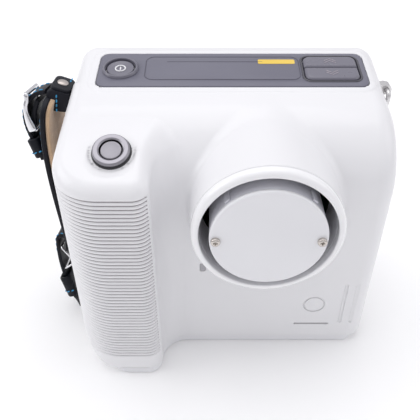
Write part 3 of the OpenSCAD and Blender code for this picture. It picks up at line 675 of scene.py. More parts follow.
def surface_net(distance, xs, ys, zs):
    """A quad mesh of distance = 0 on a rectilinear grid, each vertex at the mean of its cell's edge
    crossings.
    """
    field = np.empty((len(xs), len(ys), len(zs)), np.float32)
    for i in range(0, len(xs), 24):
        part = xs[i:i + 24]
        field[i:i + 24] = distance(part[:, None, None], ys[None, :, None], zs[None, None, :])
    inside = field < 0
    corners = [inside[a:a - 1 or None, b:b - 1 or None, c:c - 1 or None]
               for a in (0, 1) for b in (0, 1) for c in (0, 1)]
    count = sum(c.astype(np.int8) for c in corners)
    active = (count > 0) & (count < 8)
    ids = np.full(active.shape, -1, np.int64)
    cells = np.argwhere(active)
    ids[active] = np.arange(len(cells))
    total = np.zeros((len(cells), 3))
    hits = np.zeros(len(cells))
    axes = (xs, ys, zs)
    i, j, k = cells.T
    for axis in range(3):
        for a in (0, 1):
            for b in (0, 1):
                low = [i, j, k]
                others = [q for q in range(3) if q != axis]
                low[others[0]] = low[others[0]] + a
                low[others[1]] = low[others[1]] + b
                high = list(low)
                high[axis] = high[axis] + 1
                f0 = field[tuple(low)]
                f1 = field[tuple(high)]
                cross = (f0 < 0) != (f1 < 0)
                t = np.where(cross, f0 / np.where(cross, f0 - f1, 1), 0)
                point = np.stack([axes[q][low[q]] for q in range(3)], 1).astype(float)
                step = axes[axis][high[axis]] - axes[axis][low[axis]]
                point[:, axis] += t * step
                total += point * cross[:, None]
                hits += cross
    points = total / hits[:, None]
    quads = []
    for axis in range(3):
        others = [q for q in range(3) if q != axis]
        lower = np.take(inside, range(inside.shape[axis] - 1), axis)
        upper = np.take(inside, range(1, inside.shape[axis]), axis)
        change = np.argwhere(lower != upper)
        keep = np.ones(len(change), bool)
        for q in others:
            keep &= (change[:, q] > 0) & (change[:, q] < len(axes[q]) - 1)
        change = change[keep]
        around = []
        for a, b in ((0, 0), (1, 0), (1, 1), (0, 1)):
            cell = change.copy()
            cell[:, others[0]] -= a
            cell[:, others[1]] -= b
            around.append(ids[tuple(cell.T)])
        faces = np.stack(around, 1)
        rising = lower[tuple(change.T)]
        flip = ~rising if axis != 1 else rising
        faces[flip] = faces[flip][:, ::-1]
        quads.append(faces)
    return points, np.concatenate(quads)


def gradient(distance, points, step=0.12):
    x, y, z = points.T
    g = np.stack([
        distance(x + step, y, z) - distance(x - step, y, z),
        distance(x, y + step, z) - distance(x, y - step, z),
        distance(x, y, z + step) - distance(x, y, z - step),
    ], 1) / (2 * step)
    return g


def net_piece(name, distance, grid, mat, replaces, level=None):
    points, quads = surface_net(distance, *grid)
    if level is not None:
        flat = level(points)
        rows = np.searchsorted(grid[2], points[:, 2]).clip(1, len(grid[2]) - 1)
        points[flat, 2] = ((grid[2][rows - 1] + grid[2][rows]) / 2)[flat]
    for _ in range(3):
        g = gradient(distance, points, 0.04)
        if level is not None:
            g[flat, 2] = 0
        size = np.maximum((g * g).sum(1), 0.25)
        move = distance(*points.T)[:, None] * g / size[:, None]
        points = points - np.clip(move, -0.25, 0.25)
    mesh = bpy.data.meshes.new(name)
    mesh.vertices.add(len(points))
    mesh.vertices.foreach_set("co", (points * MM).astype(np.float32).ravel())
    mesh.loops.add(quads.size)
    mesh.loops.foreach_set("vertex_index", quads.astype(np.int32).ravel())
    mesh.polygons.add(len(quads))
    mesh.polygons.foreach_set("loop_start", np.arange(0, quads.size, 4, dtype=np.int32))
    mesh.update(calc_edges=True)
    obj = finish_mesh(mesh, name, mat, "housing", replaces, None)
    g = gradient(distance, points, 0.05)
    g /= np.maximum(np.linalg.norm(g, axis=1), 1e-6)[:, None]
    mesh.normals_split_custom_set_from_vertices(g.tolist())
    if level is not None:
        paint_shade_in_grooves(obj, points, quads)
    print(name, len(points), "points")
    return obj


def paint_shade_in_grooves(obj, points, quads):
    """Give the faces deep in each groove, under the rib above, a darker colour: painted shade for the
    groove's shadow.
    """
    obj.data.materials.append(GROOVE_PAINTED_SHADE)
    x, y, z = points[quads].mean(1).T
    phase = (z - GROOVE_Z) / GROOVE_PITCH
    number = np.round(phase).clip(0, GROOVE_COUNT - 1)
    above = z - GROOVE_Z - number * GROOVE_PITCH
    deep = (above > -0.2) & (above < 0.44) & (ribs(x, y, z) > 0.12)
    obj.data.polygons.foreach_set("material_index", deep.astype(np.int32))


def on_grip(points):
    """Which points lie on the ribbed part of the lobe, where rows follow the grooves."""
    x, y, z = points.T
    top = GROOVE_Z + GROOVE_PITCH * (GROOVE_COUNT - 0.4)
    ribbed = (z > GROOVE_Z - 0.8) & (z < top) & (x < GRIP_RIGHT + 0.5) & (y < -20.0)
    return ribbed & (body_distance(x, y, z) > -1.6)


def groove_levels():
    """Grid heights that follow the walls of the grooves."""
    steps = (-0.8, -0.6, -0.42, -0.26, -0.12, 0.0, 0.12, 0.26, 0.42, 0.6, 0.8, 0.97)
    levels = [GROOVE_Z + GROOVE_PITCH * k + s for k in range(GROOVE_COUNT) for s in steps]
    below = spaced((BASE_TOP - 0.6, 0.5), (levels[0] - 0.3, 0))
    above = spaced((levels[-1] + 0.4, 0.45), (133, 0))
    return np.concatenate([below, np.array(levels, np.float32), above])


def shells():
    grid = (
        spaced((-71.6, 0.6), (-60, 1.1), (-36, 0.5), (-30, 1.1), (34, 0.4), (65, 0.8), (71.6, 0)),
        spaced((-61.6, 0.5), (-57, 0.9), (-43, 0.4), (-38.5, 1.1), (SEAM_Y - 2, 0.5), (SEAM_Y + 0.6, 0)),
        groove_levels(),
    )
    net_piece(
        "front_shell_body",
        lambda x, y, z: np.maximum(np.maximum(shell_distance(x, y, z), y - SEAM_Y + 0.1), BASE_TOP - z),
        grid, WHITE, ["front_shell"], on_grip,
    )
    grid = (
        spaced((-71.6, 0.7), (-56, 1.3), (56, 0.7), (71.6, 0)),
        spaced((SEAM_Y - 0.6, 0.5), (REAR + 0.6, 0)),
        spaced((BASE_TOP - 0.6, 0.8), (133, 0)),
    )
    net_piece(
        "rear_cover_body",
        lambda x, y, z: np.maximum(np.maximum(cover_distance(x, y, z), SEAM_Y + 0.1 - y), BASE_TOP - z),
        grid, WHITE, ["rear_cover"],
    )


def base_distance(x, y, z):
    """The base cover: the body's plan, drawn in a little, with a rounded lower edge."""
    plan = body_distance(x, y, np.full_like(z, 40.0)) + 0.6
    left = -(x + 52.0) * 0.625 - z * 0.78
    right = (x - 64.0) * 0.916 - z * 0.4
    d = round_max(round_max(plan, np.maximum(left, right), 3.0), -z, 1.6)
    d = np.maximum(d, z - (BASE_TOP - 0.1))
    d = np.maximum(d, -np.maximum(plan + 15.4, 2.6 - z))
    d = np.maximum(d, -(np.hypot(x, y - THREAD_Y) - 6.05))
    for fx, fy in FOOT_AT:
        d = np.maximum(d, -np.maximum(np.hypot(x - fx, y - fy) - 5.1, z - 0.6))
    for sx, sy in BASE_SCREW_AT:
        hole = np.hypot(x - sx, y - sy)
        d = np.maximum(d, -np.maximum(hole - 3.2, z - 2.0))
        d = np.maximum(d, -(hole - 1.7))
    return d


def base_part():
    grid = (
        spaced((-71.6, 0.8), (71.6, 0)),
        spaced((-61.6, 0.8), (REAR + 0.6, 0)),
        spaced((-0.5, 0.3), (BASE_TOP + 0.4, 0)),
    )
    net_piece("base_tray", base_distance, grid, WHITE_BASE, ["base_cover"])


# ---------------------------------------------------------------- cone
def cone_parts():
    outline = round_corners(
        [(RIM_RI, RIM_Y - 4), (RIM_R, RIM_Y - 4), (RIM_R, RIM_Y), (RIM_RI, RIM_Y)], [0.25, 0.35, 2.3, 0.6], 8)
    points, faces = revolve_ring(outline, CONE, 144)
    solid("cone_ring_rim", points, faces, WHITE_RING, slot="white_ring", replaces=["cone_ring"], sharp=60)
    low = RIM_Y + 0.1
    r = DRUM_R + 0.1
    profile = [(0, low), (r - 0.3, low), (r, low + 0.25), (r, low + 1.3), (r - 0.18, low + 1.75),
               (r - 0.6, low + 1.98), (r - 1.2, low + 2.0), (0, low + 2.0)]
    points, faces = revolve(profile, CONE, 144)
    solid("cover_plate", points, faces, PLATE, slot="white_ring", replaces=["front_plate"], sharp=60)
    heads = Parts()
    screw_low, screw_high = node_box("plate_screws")
    reach = (screw_high[0] - screw_low[0]) / 2 - 1.95
    for sign in (-1, 1):
        at = CONE.moved(sign * reach, -0.5, RIM_Y + 2.1)
        head = [(0, 0), (1.9, 0), (1.95, 0.15), (1.93, 0.95), (1.75, 1.35),
                (1.35, 1.58), (1.0, 1.62), (0.86, 1.5), (0.8, 0.7), (0, 0.6)]
        heads.add(*revolve(head, at, 40))
        heads.add(*revolve([(0, -8), (1.0, -8), (1.0, 0), (0, 0)], at, 24))
        for turn in range(4):
            t = math.radians(45 + 90 * turn)
            wing = at.moved(0.72 * math.cos(t), 0.72 * math.sin(t), 0.5)
            heads.add(*slab(0.62, 0.62, 0.2, [(0, 0), (0, 0.95), (0.1, 1.08)], wing, 3))
    heads.piece("plate_screw_heads", STEEL, slot="screw_steel", replaces=["plate_screws"], sharp=50)


# ---------------------------------------------------------------- top panel, keys and buttons
POWER_X = -49.1
POWER_V = 13.5
KEYS_X = 47.0


def on_panel(x, v, w):
    """A frame on the top plane: x across, v from the panel's front edge, w above the plane."""
    return PANEL.moved(x - PANEL_C[0], v - PANEL_D / 2, w + TOP_W)


def panel_plate():
    """The grey panel: a thin plate with one hole for the power button and one for the keys."""
    place = on_panel(PANEL_C[0], PANEL_D / 2, -1.1)
    side = [(0.0, 0.0), (0.0, 1.3), (0.09, 1.5), (0.3, 1.6)]
    holes = [
        ("round", POWER_X - PANEL_C[0], POWER_V - PANEL_D / 2, 6.95),
        ("rect", KEYS_X - PANEL_C[0], 13.6 - PANEL_D / 2, (25.4, 19.4, 3.4)),
    ]
    mesh = bmesh.new()
    levels = []
    for inset, z in side:
        loops = [panel_outline(inset)]
        for kind, hx, hy, size in holes:
            if kind == "round":
                turn = np.linspace(0, 2 * math.pi, 64, endpoint=False)
                r = size + inset * 0.6
                loops.append(np.column_stack([hx + r * np.cos(turn), hy + r * np.sin(turn)]))
            else:
                w, h, r = size
                loops.append(rounded_rect(w, h, r, -inset * 0.6) + [hx, hy])
        rims = [place.out(raised(loop, z)) * MM for loop in loops]
        levels.append([[mesh.verts.new(tuple(p)) for p in rim] for rim in rims])
    for low, high in zip(levels, levels[1:]):
        for index, (a, b) in enumerate(zip(low, high)):
            n = len(a)
            for j in range(n):
                k = (j + 1) % n
                quad = (a[j], a[k], b[k], b[j])
                mesh.faces.new(quad if index == 0 else quad[::-1])
    for level in (levels[0], levels[-1]):
        edges = []
        for loop in level:
            for j in range(len(loop)):
                edges.append(mesh.edges.get((loop[j], loop[(j + 1) % len(loop)]))
                             or mesh.edges.new((loop[j], loop[(j + 1) % len(loop)])))
        bmesh.ops.triangle_fill(mesh, edges=edges, use_beauty=True, use_dissolve=False)
    bmesh.ops.recalc_face_normals(mesh, faces=mesh.faces)
    out = bpy.data.meshes.new("control_panel")
    mesh.to_mesh(out)
    mesh.free()
    finish_mesh(out, "control_panel", PANEL_GREY, "housing", ["top_panel"], 40)


def panel_outline(inset):
    """The panel's outline, drawn in by inset."""
    hw, hh = PANEL_W / 2 - inset, PANEL_D / 2 - inset
    corners = [(-hw, -hh), (hw, -hh), (hw, hh), (-hw, hh)]
    return round_corners(corners, [4.0 - inset] * 4, 10)


def panel_lines():
    """The thin frame engraved in the panel and the line across it."""
    parts = Parts()
    frame_at = on_panel(-2.5, 14.1, 0.5)
    ring = rounded_rect(70.5, 18.1, 3.8, 0, 10)
    path = frame_at.out(raised(ring, 0.0))
    parts.add(*tube(path, 0.2, closed=True, sides=8))
    line = on_panel(-8, 19.2, 0.5)
    parts.add(*tube(line.out([[-20, 0, 0], [0, 0, 0], [24, 0, 0]]), 0.16, sides=8))
    parts.piece("panel_frame_line", PANEL_LINE, slot="grey_panel", sharp=60)


def power_parts():
    at = on_panel(POWER_X, POWER_V, 0)
    outline = round_corners([(6.95, -0.6), (8.3, 0.2), (8.3, 0.75), (7.7, 1.65), (7.15, 1.65), (6.95, 1.2)],
                            [0.1, 0.2, 0.3, 0.3, 0.2, 0.1], 4)
    solid("power_ring", *revolve_ring(outline, at, 96), KEY_GREY, slot="grey_key",
          replaces=["power_bezel"], sharp=60)
    cap = [(0, -4.3), (6.6, -4.3), (6.6, -3.4), (6.2, -3.3), (6.2, 0.55), (6.05, 0.82),
           (5.7, 0.95), (5.2, 0.9), (4.0, 0.72), (2.0, 0.6), (0, 0.58)]
    solid("power_cap", *revolve(cap, at, 96), KEY_GREY, body="power", slot="grey_key",
          replaces=["power_button"], sharp=60)
    icon = Parts()
    spots = [at.out([2.25 * math.cos(t), 2.25 * math.sin(t), 0.72])
             for t in np.linspace(0, 2 * math.pi, 40, endpoint=False)]
    icon.add(*tube(spots, 0.33, closed=True, sides=8))
    icon.add(*capsule(at.out([0, -1.35, 0.62]), at.out([0, 1.35, 0.62]), 0.36))
    icon.piece("power_icon", PRINT, body="power", slot="mark_white", replaces=["power_mark"], sharp=60)


def key_cap(name, v, h, body, node, front_r, rear_r):
    """One half of the rocker pair: rounded outside corners, nearly square ones on the parting line."""
    at = on_panel(KEYS_X, v, -4.2)
    rings = []
    for inset, z in [(0.0, 0.0), (0.0, 4.75), (0.25, 5.1), (0.9, 5.55), (1.25, 5.68), (1.7, 5.7)]:
        hw = 12.2 - inset
        hh = h / 2 - inset * 0.8
        radii = [max(r - inset, 0.3) for r in (front_r, front_r, rear_r, rear_r)]
        flat = round_corners([(-hw, -hh), (hw, -hh), (hw, hh), (-hw, hh)], radii, 8)
        rings.append(at.out(raised(flat, z)))
    points, faces = loft(rings)
    solid(name, points, faces, KEY_GREY, body=body, slot="grey_key", replaces=[node], sharp=50)


def chevron(name, v, sign, body, node):
    at = on_panel(KEYS_X, v, 1.52)
    arms = Parts()
    for rise in (-0.75, 0.75):
        path = [[-2.7, rise - 0.9 * sign, 0], [-1.35, rise, 0], [0, rise + 0.9 * sign, 0],
                [1.35, rise, 0], [2.7, rise - 0.9 * sign, 0]]
        arms.add(*tube(at.out(path), 0.2, sides=8))
    arms.piece(name, KEY_MARK, body=body, slot="mark_white", replaces=[node], sharp=60)


def key_parts():
    at = on_panel(KEYS_X, 13.6, 0)
    rings = []
    outer = [(0.0, 0.3), (0.0, 0.55), (0.25, 0.75), (0.7, 0.82), (0.98, 0.72), (1.02, 0.55), (1.02, 0.3)]
    for inset, z in outer:
        flat = rounded_rect(27.2, 21.2, 4.2, inset, 8)
        rings.append(at.out(raised(flat, z)))
    points, faces = loft(rings, closed=True)
    # The surround is near-black: painted shade for the shadowed gap round the keys.
    solid("key_surround", points, faces, KEY_GAP_PAINTED_SHADE, slot="grey_key", replaces=["key_bezel"], sharp=60)
    key_cap("key_cap_up", 18.35, 8.6, "up_key", "key_up", 0.6, 3.3)
    key_cap("key_cap_down", 9.0, 9.2, "down_key", "key_down", 3.3, 0.6)
    chevron("chevron_up", 18.4, 1, "up_key", "key_marks_up")
    chevron("chevron_down", 9.0, -1, "down_key", "key_marks_down")


def exposure_parts():
    skirt = round_corners(
        [(4.95, -2.5), (7.9, -2.5), (8.05, -1.0), (7.75, -0.1), (4.95, 0.0)],
        [0.1, 0.2, 0.3, 0.3, 0.1], 4)
    solid("trigger_skirt", *revolve_ring(skirt, SHELF, 96), DARK, slot="dark_plastic", sharp=60)
    rim = round_corners(
        [(4.75, -0.4), (7.5, -0.4), (7.55, 0.5), (6.9, 1.3), (5.35, 1.25), (4.75, 0.8)],
        [0.05, 0.2, 0.35, 0.35, 0.3, 0.15], 5)
    solid("trigger_ring", *revolve_ring(rim, SHELF, 96), SATIN, slot="grey_metal",
          replaces=["exposure_bezel"], sharp=60)
    cap = [(0, -9.9), (2.4, -9.9), (2.4, -8), (4.3, -8), (4.3, 0.1), (4.22, 0.35),
           (4.0, 0.55), (3.7, 0.6), (3.35, 0.52), (1.5, 0.42), (0, 0.4)]
    solid("trigger_cap", *revolve(cap, SHELF, 96), SATIN_CAP, body="exposure", slot="grey_metal",
          replaces=["exposure_button"], sharp=60)


# ---------------------------------------------------------------- side ring
def side_ring():
    joint = next(j for j in frame["joints"] if j["name"] == "ring_swing")
    centre = np.array(joint["pos_m"]) / MM
    low, high = node_box("ring_loop")
    rod = (high[0] - low[0]) / 2
    half = (high[1] - low[1]) / 2 - rod
    drop = 2.6
    path = [(0, y, 0) for y in np.linspace(-half + 1.3, half - 1.3, 8)]
    path += [(0, half - 0.35, -0.3), (0, half, -1.1)]
    path += [(0, half * math.cos(t), -drop - half * math.sin(t)) for t in np.linspace(0, math.pi, 18)]
    path += [(0, -half, -1.1), (0, -half + 0.35, -0.3)]
    points, faces = tube(centre + np.array(path), rod * 0.99, closed=True, sides=16)
    solid("side_ring_wire", points, faces, CHROME_SOFT, body="side_ring", slot="chrome",
          replaces=["ring_loop"], sharp=70)


# ---------------------------------------------------------------- strap
def bezier(a, b, c, d, n):
    t = np.linspace(0, 1, n + 1)[:, None]
    u = 1 - t
    a, b, c, d = (np.array(p, float) for p in (a, b, c, d))
    return u ** 3 * a + 3 * u * u * t * b + 3 * u * t * t * c + t ** 3 * d


PAD_PATH = bezier((-81.6, 121), (-89, 102), (-81.5, 66), (-78.6, 40), 48)
OUTER_PATH = np.concatenate([
    bezier((-82.4, 123.2), (-89.4, 122.8), (-93.9, 117), (-93.9, 110.5), 24),
    bezier((-93.9, 109.9), (-93.9, 103), (-90.7, 98), (-88.4, 89.6), 26)])
END_PATH = bezier((-87.0, 118.8), (-89.6, 114), (-90.1, 111), (-89.8, 107.0), 16)
LOWER_PATH = np.concatenate([
    [(-80.4, 40.0), (-80.4, 43.0)],
    bezier((-80.4, 45.8), (-80.4, 50.6), (-86.9, 50.6), (-86.9, 45.8), 24),
    bezier((-86.95, 44.5), (-87.4, 34.5), (-86.0, 23.5), (-82.0, 12.7), 24),
    bezier((-81.9, 12.3), (-81.0, 9.2), (-80.5, 5.4), (-80.4, 1.6), 10)])
PAD_W = 30.0
PAD_BACK = 2.4
FLAP_TIP = 12.0
STRAP_W = 14.4
STITCH_R = 0.36
STITCH_PITCH = 2.9
STITCH_LENGTH = 2.0
STITCH_LEAN = 0.25


def normals_of(path):
    along = np.gradient(path, axis=0)
    along /= np.linalg.norm(along, axis=1)[:, None]
    return np.column_stack([-along[:, 1], along[:, 0]])


def ribbon(path, low, high, width, edge=0.6, crown=0.0, narrow=None, front_cut=None):
    """A leather strip: path in the strap frame's X and Z, thickness from low to high along its normal."""
    normal = normals_of(path)
    rings = []
    count = len(path)
    for i in range(count):
        w = width * (narrow(i / (count - 1)) if narrow else 1.0)
        t = high - low
        flat = round_corners([(-w / 2, 0), (w / 2, 0), (w / 2, t), (-w / 2, t)], [min(edge, t * 0.49)] * 4, 4)
        bow = crown * (1 - (2 * flat[:, 0] / w) ** 2).clip(0, 1)
        if front_cut is not None:
            cut = front_cut(i / (count - 1))
            flat[:, 0] = w / 2 + PAD_BACK - (w / 2 - flat[:, 0]) * (1 - (cut - PAD_BACK) / w)
        lift = low + flat[:, 1] + bow
        pts = np.column_stack([
            path[i, 0] + normal[i, 0] * lift, flat[:, 0], path[i, 1] + normal[i, 1] * lift])
        rings.append(STRAP.out(pts))
    return loft(rings)


def stitch_run(parts, path, offset, across, start=0.04, stop=0.96):
    """Stitches along a strip, at a height along its normal and a place across its width."""
    normal = normals_of(path)
    steps = np.concatenate([[0], np.cumsum(np.linalg.norm(np.diff(path, axis=0), axis=1))])
    total = steps[-1]
    at = total * start
    while at + STITCH_LENGTH < total * stop:
        ends = []
        for s, tilt in ((at, -STITCH_LEAN), (at + STITCH_LENGTH, STITCH_LEAN)):
            x = np.interp(s, steps, path[:, 0])
            z = np.interp(s, steps, path[:, 1])
            nx = np.interp(s, steps, normal[:, 0])
            nz = np.interp(s, steps, normal[:, 1])
            ends.append(STRAP.out([x + nx * offset, across + tilt, z + nz * offset]))
        parts.add(*capsule(ends[0], ends[1], STITCH_R))
        at += STITCH_PITCH


def strap_pad():
    def shape(t):
        return 1.0 - 0.3 * smooth(t, 0.86, 1.0)

    def corner(t):
        reach = min(t / 0.13, 1.0)
        return 11.0 * (1 - math.sqrt(max(1 - (1 - reach) ** 2, 0.0)))

    points, faces = ribbon(PAD_PATH, 0.0, 2.2, PAD_W, 0.7, 0.0, shape, corner)
    solid("pad_outer_leather", points, faces, LEATHER, slot="leather", replaces=["strap_pad"], sharp=50)
    points, faces = ribbon(PAD_PATH, 2.25, 4.2, PAD_W - 1.6, 0.8, 0.5, shape, corner)
    lining = solid("pad_suede_lining", points, faces, SUEDE, slot="suede", replaces=["pad_lining"], sharp=60)


def keeper(parts, name, node, x, z, lean, height):
    """A leather keeper: a closed band round the strap with a line of stitches."""
    c, s = math.cos(lean), math.sin(lean)
    at = Place(STRAP.out([x, 0, z]), STRAP.rot @ [c, 0, s], STRAP.rot @ [0, 1, 0], STRAP.rot @ [-s, 0, c])
    w, h, thick = 5.8, STRAP_W + 4.0, 1.3
    rings = []
    section = [(0.0, 0.6), (0.0, height - 0.6), (0.2, height - 0.15), (0.6, height), (thick - 0.3, height),
               (thick, height - 0.4), (thick, 0.4), (thick - 0.3, 0.0), (0.6, 0.0), (0.2, 0.15)]
    for inset, up in section:
        flat = rounded_rect(w, h, 2.3, inset, 6)
        rings.append(at.out(raised(flat, up - height / 2)))
    points, faces = loft(rings, closed=True)
    solid(name, points, faces, LEATHER, slot="leather", replaces=[node], sharp=60)
    row = -height * 0.2
    for k in range(2):
        across = -w / 2 + 1.1 + 2.4 * k
        start = at.out([across, -h / 2 - 0.1, row])
        end = at.out([across + 1.5, -h / 2 - 0.1, row + 0.25])
        parts.add(*capsule(start, end, STITCH_R))
    for k in range(-3, 3):
        across = 2.9 * k + 0.5
        start = at.out([-w / 2 - 0.1, across, row - 0.15])
        end = at.out([-w / 2 - 0.1, across + 1.9, row + 0.1])
        parts.add(*capsule(start, end, STITCH_R))


def strap_parts():
    sewn = Parts()
    body = Parts()
    body.add(*ribbon(OUTER_PATH, 0.0, 2.0, STRAP_W, 0.6))
    body.add(*ribbon(END_PATH, 0.0, 2.2, STRAP_W, 0.6))
    body.piece("strap_upper_leather", LEATHER, slot="leather", replaces=["outer_strap"], sharp=50)

    def taper(t):
        return 1.0 - 0.7 * np.maximum(t - 0.86, 0) / 0.14

    points, faces = ribbon(LOWER_PATH, 0.0, 1.8, STRAP_W, 0.55, 0.0, taper)
    solid("strap_lower_leather", points, faces, LEATHER, slot="leather", replaces=["lower_strap"], sharp=50)
    for across in (-5.9, 5.9):
        stitch_run(sewn, OUTER_PATH, -0.1, across, stop=0.97, start=0.02)
        stitch_run(sewn, LOWER_PATH, -0.1, across, start=0.16, stop=0.42)
    for across in (-PAD_W / 2 + 2.0, PAD_W / 2 - 2.0):
        stitch_run(sewn, PAD_PATH, -0.1, across, start=0.12, stop=0.84)
    keeper(sewn, "keeper_upper_loop", "upper_keeper", -89.2, 96.1, math.radians(18.6), 9.4)
    keeper(sewn, "keeper_lower_loop", "lower_keeper", -82.9, 18.7, math.radians(16), 12.4)
    tab_parts(sewn)
    sewn.piece("strap_stitches", THREAD, slot="leather", sharp=60)


def tab_parts(sewn):
    """The riveted leather tab: a folded wrap with a flap laid over its top."""
    half = 7.5
    outline = round_corners(
        [(-82.0, 113.8), (-71.5, 112.7), (-71.5, 121.2), (-81.6, 124.4)], [3.0, 0.8, 0.6, 2.2], 8)
    centre = outline.mean(0)
    rings = []
    side = [(1.0, -half), (0.35, -half + 0.15), (0.0, -half + 0.8),
            (0.0, half - 0.8), (0.35, half - 0.15), (1.0, half)]
    for inset, y in side:
        flat = centre + (outline - centre) * (1 - inset / 6.0)
        rings.append(STRAP.out(np.column_stack([flat[:, 0], np.full(len(flat), y), flat[:, 1]])))
    wrap = Parts()
    wrap.add(*loft(rings))
    slope = math.radians(18.4)
    c, s = math.cos(slope), math.sin(slope)
    tip = math.radians(FLAP_TIP)
    along = np.array([c, 0, -s])
    back = np.array([s * math.sin(tip), math.cos(tip), c * math.sin(tip)])
    up = np.cross(along, back)
    flap = Place(STRAP.out([-75.7, -0.4, 122.9]), STRAP.rot @ along, STRAP.rot @ back, STRAP.rot @ up)
    wrap.add(*slab(9.0, 12.4, 2.6, edge_round(2.2, 0.6, 4, 0.5), flap, 8))
    wrap.piece("tab_leather", LEATHER, slot="leather", replaces=["upper_tab"], sharp=50)
    head = [(0, 2.1), (2.4, 2.15), (2.5, 2.35), (2.35, 2.65), (1.9, 2.85), (1.2, 3.0), (0, 3.05)]
    at = flap.moved(-0.2, 0, 0)
    rivet = Parts()
    rivet.add(*revolve(head, at, 48))
    rivet.add(*revolve([(0, -9.5), (2.0, -9.5), (2.0, 2.1), (0, 2.1)], at, 24))
    rivet.add(*revolve([(0, -10.2), (2.7, -10.2), (2.9, -10.0), (2.9, -9.7), (0, -9.5)], at, 32))
    rivet.piece("tab_rivet", RIVET, slot="screw_steel", replaces=["rivet"], sharp=50)
    for k in range(4):
        z = 113.4 + k * 2.1
        start = STRAP.out([-77.9 + 0.22 * k, -half - 0.05, z])
        end = STRAP.out([-77.7 + 0.22 * k, -half - 0.05, z + 1.5])
        sewn.add(*capsule(start, end, STITCH_R))
    for k in range(2):
        start = flap.out([2.4, 6.6 - 2.2 * k, 2.12])
        end = flap.out([2.5, 5.0 - 2.2 * k, 2.12])
        sewn.add(*capsule(start, end, STITCH_R))


def buckle():
    """A curved chrome frame: two side bars joined by a bar at each end."""
    centre = np.array([-68.6, 111.3])
    half = 8.4
    parts = Parts()

    def at(r, angle, y):
        t = math.radians(angle)
        return STRAP.out([centre[0] + r * math.cos(t), y, centre[1] + r * math.sin(t)])

    for side in (-1, 1):
        rings = []
        for k in range(33):
            part = k / 32
            angle = 153 + 46 * part
            swell = smooth(part, 0.45, 0.9)
            waist = math.sin(math.pi * smooth(part, 0.0, 0.62))
            mid = 22.7 - 0.9 * swell + 0.5 * waist + 1.4 * (1 - smooth(part, 0.0, 0.22))
            half_w = 1.35 + 0.75 * swell - 0.2 * waist
            end = min(part, 1 - part) / 0.05
            if end < 1:
                half_w *= math.sqrt(max(1 - (1 - end) ** 2, 0.02))
            thick = 0.8 if end >= 1 else 0.8 * math.sqrt(max(1 - (1 - end) ** 2, 0.05))
            turn = np.linspace(0, 2 * math.pi, 16, endpoint=False)
            depth = [thick * math.copysign(abs(math.sin(t)) ** 0.7, math.sin(t)) for t in turn]
            rings.append(np.array([
                at(mid + half_w * math.cos(t), angle, side * half + dy) for t, dy in zip(turn, depth)]))
        parts.add(*loft(rings))
    parts.add(*tube([at(24.2, 155, y) for y in np.linspace(-half, half, 9)], 1.05, sides=14))
    parts.add(*tube([at(20.6, 197, y) for y in np.linspace(-half, half, 9)], 0.85, sides=12))
    parts.piece("strap_buckle", CHROME, slot="chrome", replaces=["buckle_frame"], sharp=70)


def lower_ring():
    """The bent wire that ties the lower loop to its lug."""
    hook, upper, lower, reach, r = (-78.0, 33.6), (-84.2, 42.5), (-83.6, 29.8), 8.0, 0.5
    parts = Parts()
    for end in (upper, lower):
        corners = [(hook, -reach), (end, -reach), (end, reach), (hook, reach)]
        path = []
        for (a, ya), (b, yb) in zip(corners, corners[1:] + corners[:1]):
            a, b = np.array([a[0], ya, a[1]]), np.array([b[0], yb, b[1]])
            path += [a + (b - a) * k for k in (0.06, 0.2, 0.5, 0.8, 0.94)]
        parts.add(*tube(STRAP.out(path), r, closed=True, sides=12))
    parts.piece("lower_ring_wire", CHROME, slot="chrome", replaces=["lower_ring"], sharp=70)


# ---------------------------------------------------------------- stage
SKY_FRONT = 0.36
SKY_LOW = 0.62
SKY_HIGH = 1.03


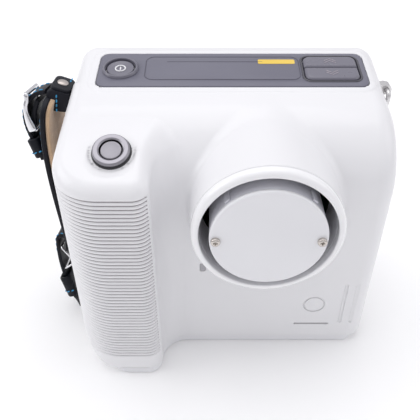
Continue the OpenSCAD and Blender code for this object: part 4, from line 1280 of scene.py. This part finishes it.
def stage():
    size = 3.0
    mesh = bpy.data.meshes.new("floor")
    corners = [(-size, -size, 0), (size, -size, 0), (size, size, 0), (-size, size, 0)]
    mesh.from_pydata(corners, [], [(0, 1, 2, 3)])
    floor = bpy.data.objects.new("floor", mesh)
    bpy.context.scene.collection.objects.link(floor)
    mat, tree, bsdf = material("floor_paper")
    vector = object_coords(tree)
    tones = [(0.3, (0.985, 0.985, 0.98)), (0.7, (0.99, 0.99, 0.985))]
    tree.links.new(ramp(tree, noise(tree, vector, 6.0), tones), bsdf.inputs["Base Color"])
    bsdf.inputs["Roughness"].default_value = 0.9
    mesh.materials.append(mat)

    world = bpy.data.worlds.new("studio")
    bpy.context.scene.world = world
    world.use_nodes = True
    tree = world.node_tree
    sky = tree.nodes["Background"]
    sky.inputs["Color"].default_value = (0.965, 0.96, 1.0, 1)
    coords = put(tree, "ShaderNodeTexCoord")
    split = put(tree, "ShaderNodeSeparateXYZ")
    tree.links.new(coords.outputs["Generated"], split.inputs["Vector"])
    horizon = put(tree, "ShaderNodeMapRange")
    horizon.inputs["From Min"].default_value = -1.0
    horizon.inputs["From Max"].default_value = 0.2
    horizon.inputs["To Min"].default_value = SKY_FRONT
    horizon.inputs["To Max"].default_value = SKY_LOW
    tree.links.new(split.outputs["Y"], horizon.inputs["Value"])
    height = put(tree, "ShaderNodeMapRange")
    height.inputs["To Max"].default_value = SKY_HIGH
    tree.links.new(split.outputs["Z"], height.inputs["Value"])
    tree.links.new(horizon.outputs["Result"], height.inputs["To Min"])
    tree.links.new(height.outputs["Result"], sky.inputs["Strength"])

    def area(name, place, target, size, power, colour=(1, 1, 1)):
        lamp = bpy.data.lights.new(name, "AREA")
        lamp.size = size
        lamp.energy = power
        lamp.color = colour
        obj = bpy.data.objects.new(name, lamp)
        obj.location = place
        obj.rotation_euler = (Vector(target) - Vector(place)).to_track_quat("-Z", "Y").to_euler()
        bpy.context.scene.collection.objects.link(obj)

    area("top_soft", (-0.1, 0.25, 1.1), (0, 0, 0.08), 0.9, 3.0)
    area("left_soft", (-0.9, -0.05, 0.6), (0, 0, 0.08), 0.6, 2.2)
    area("right_soft", (0.9, -0.1, 0.6), (0, 0, 0.08), 0.6, 0.8)


def camera():
    cam = bpy.data.cameras.new("camera")
    cam.sensor_width = 36.0
    cam.lens = 47.09
    obj = bpy.data.objects.new("camera", cam)
    bpy.context.scene.collection.objects.link(obj)
    obj.location = (-0.0082, -0.2247, 0.2341)
    pitch = math.radians(38.4)
    direction = Vector((0, math.cos(pitch), -math.sin(pitch)))
    obj.rotation_euler = direction.to_track_quat("-Z", "Y").to_euler()
    cam.clip_start = 0.01
    bpy.context.scene.camera = obj


bpy.context.scene.view_settings.view_transform = "Standard"
camera()
stage()
shells()
base_part()
cone_parts()
panel_plate()
panel_lines()
power_parts()
key_parts()
exposure_parts()
side_ring()
strap_pad()
strap_parts()
buckle()
lower_ring()
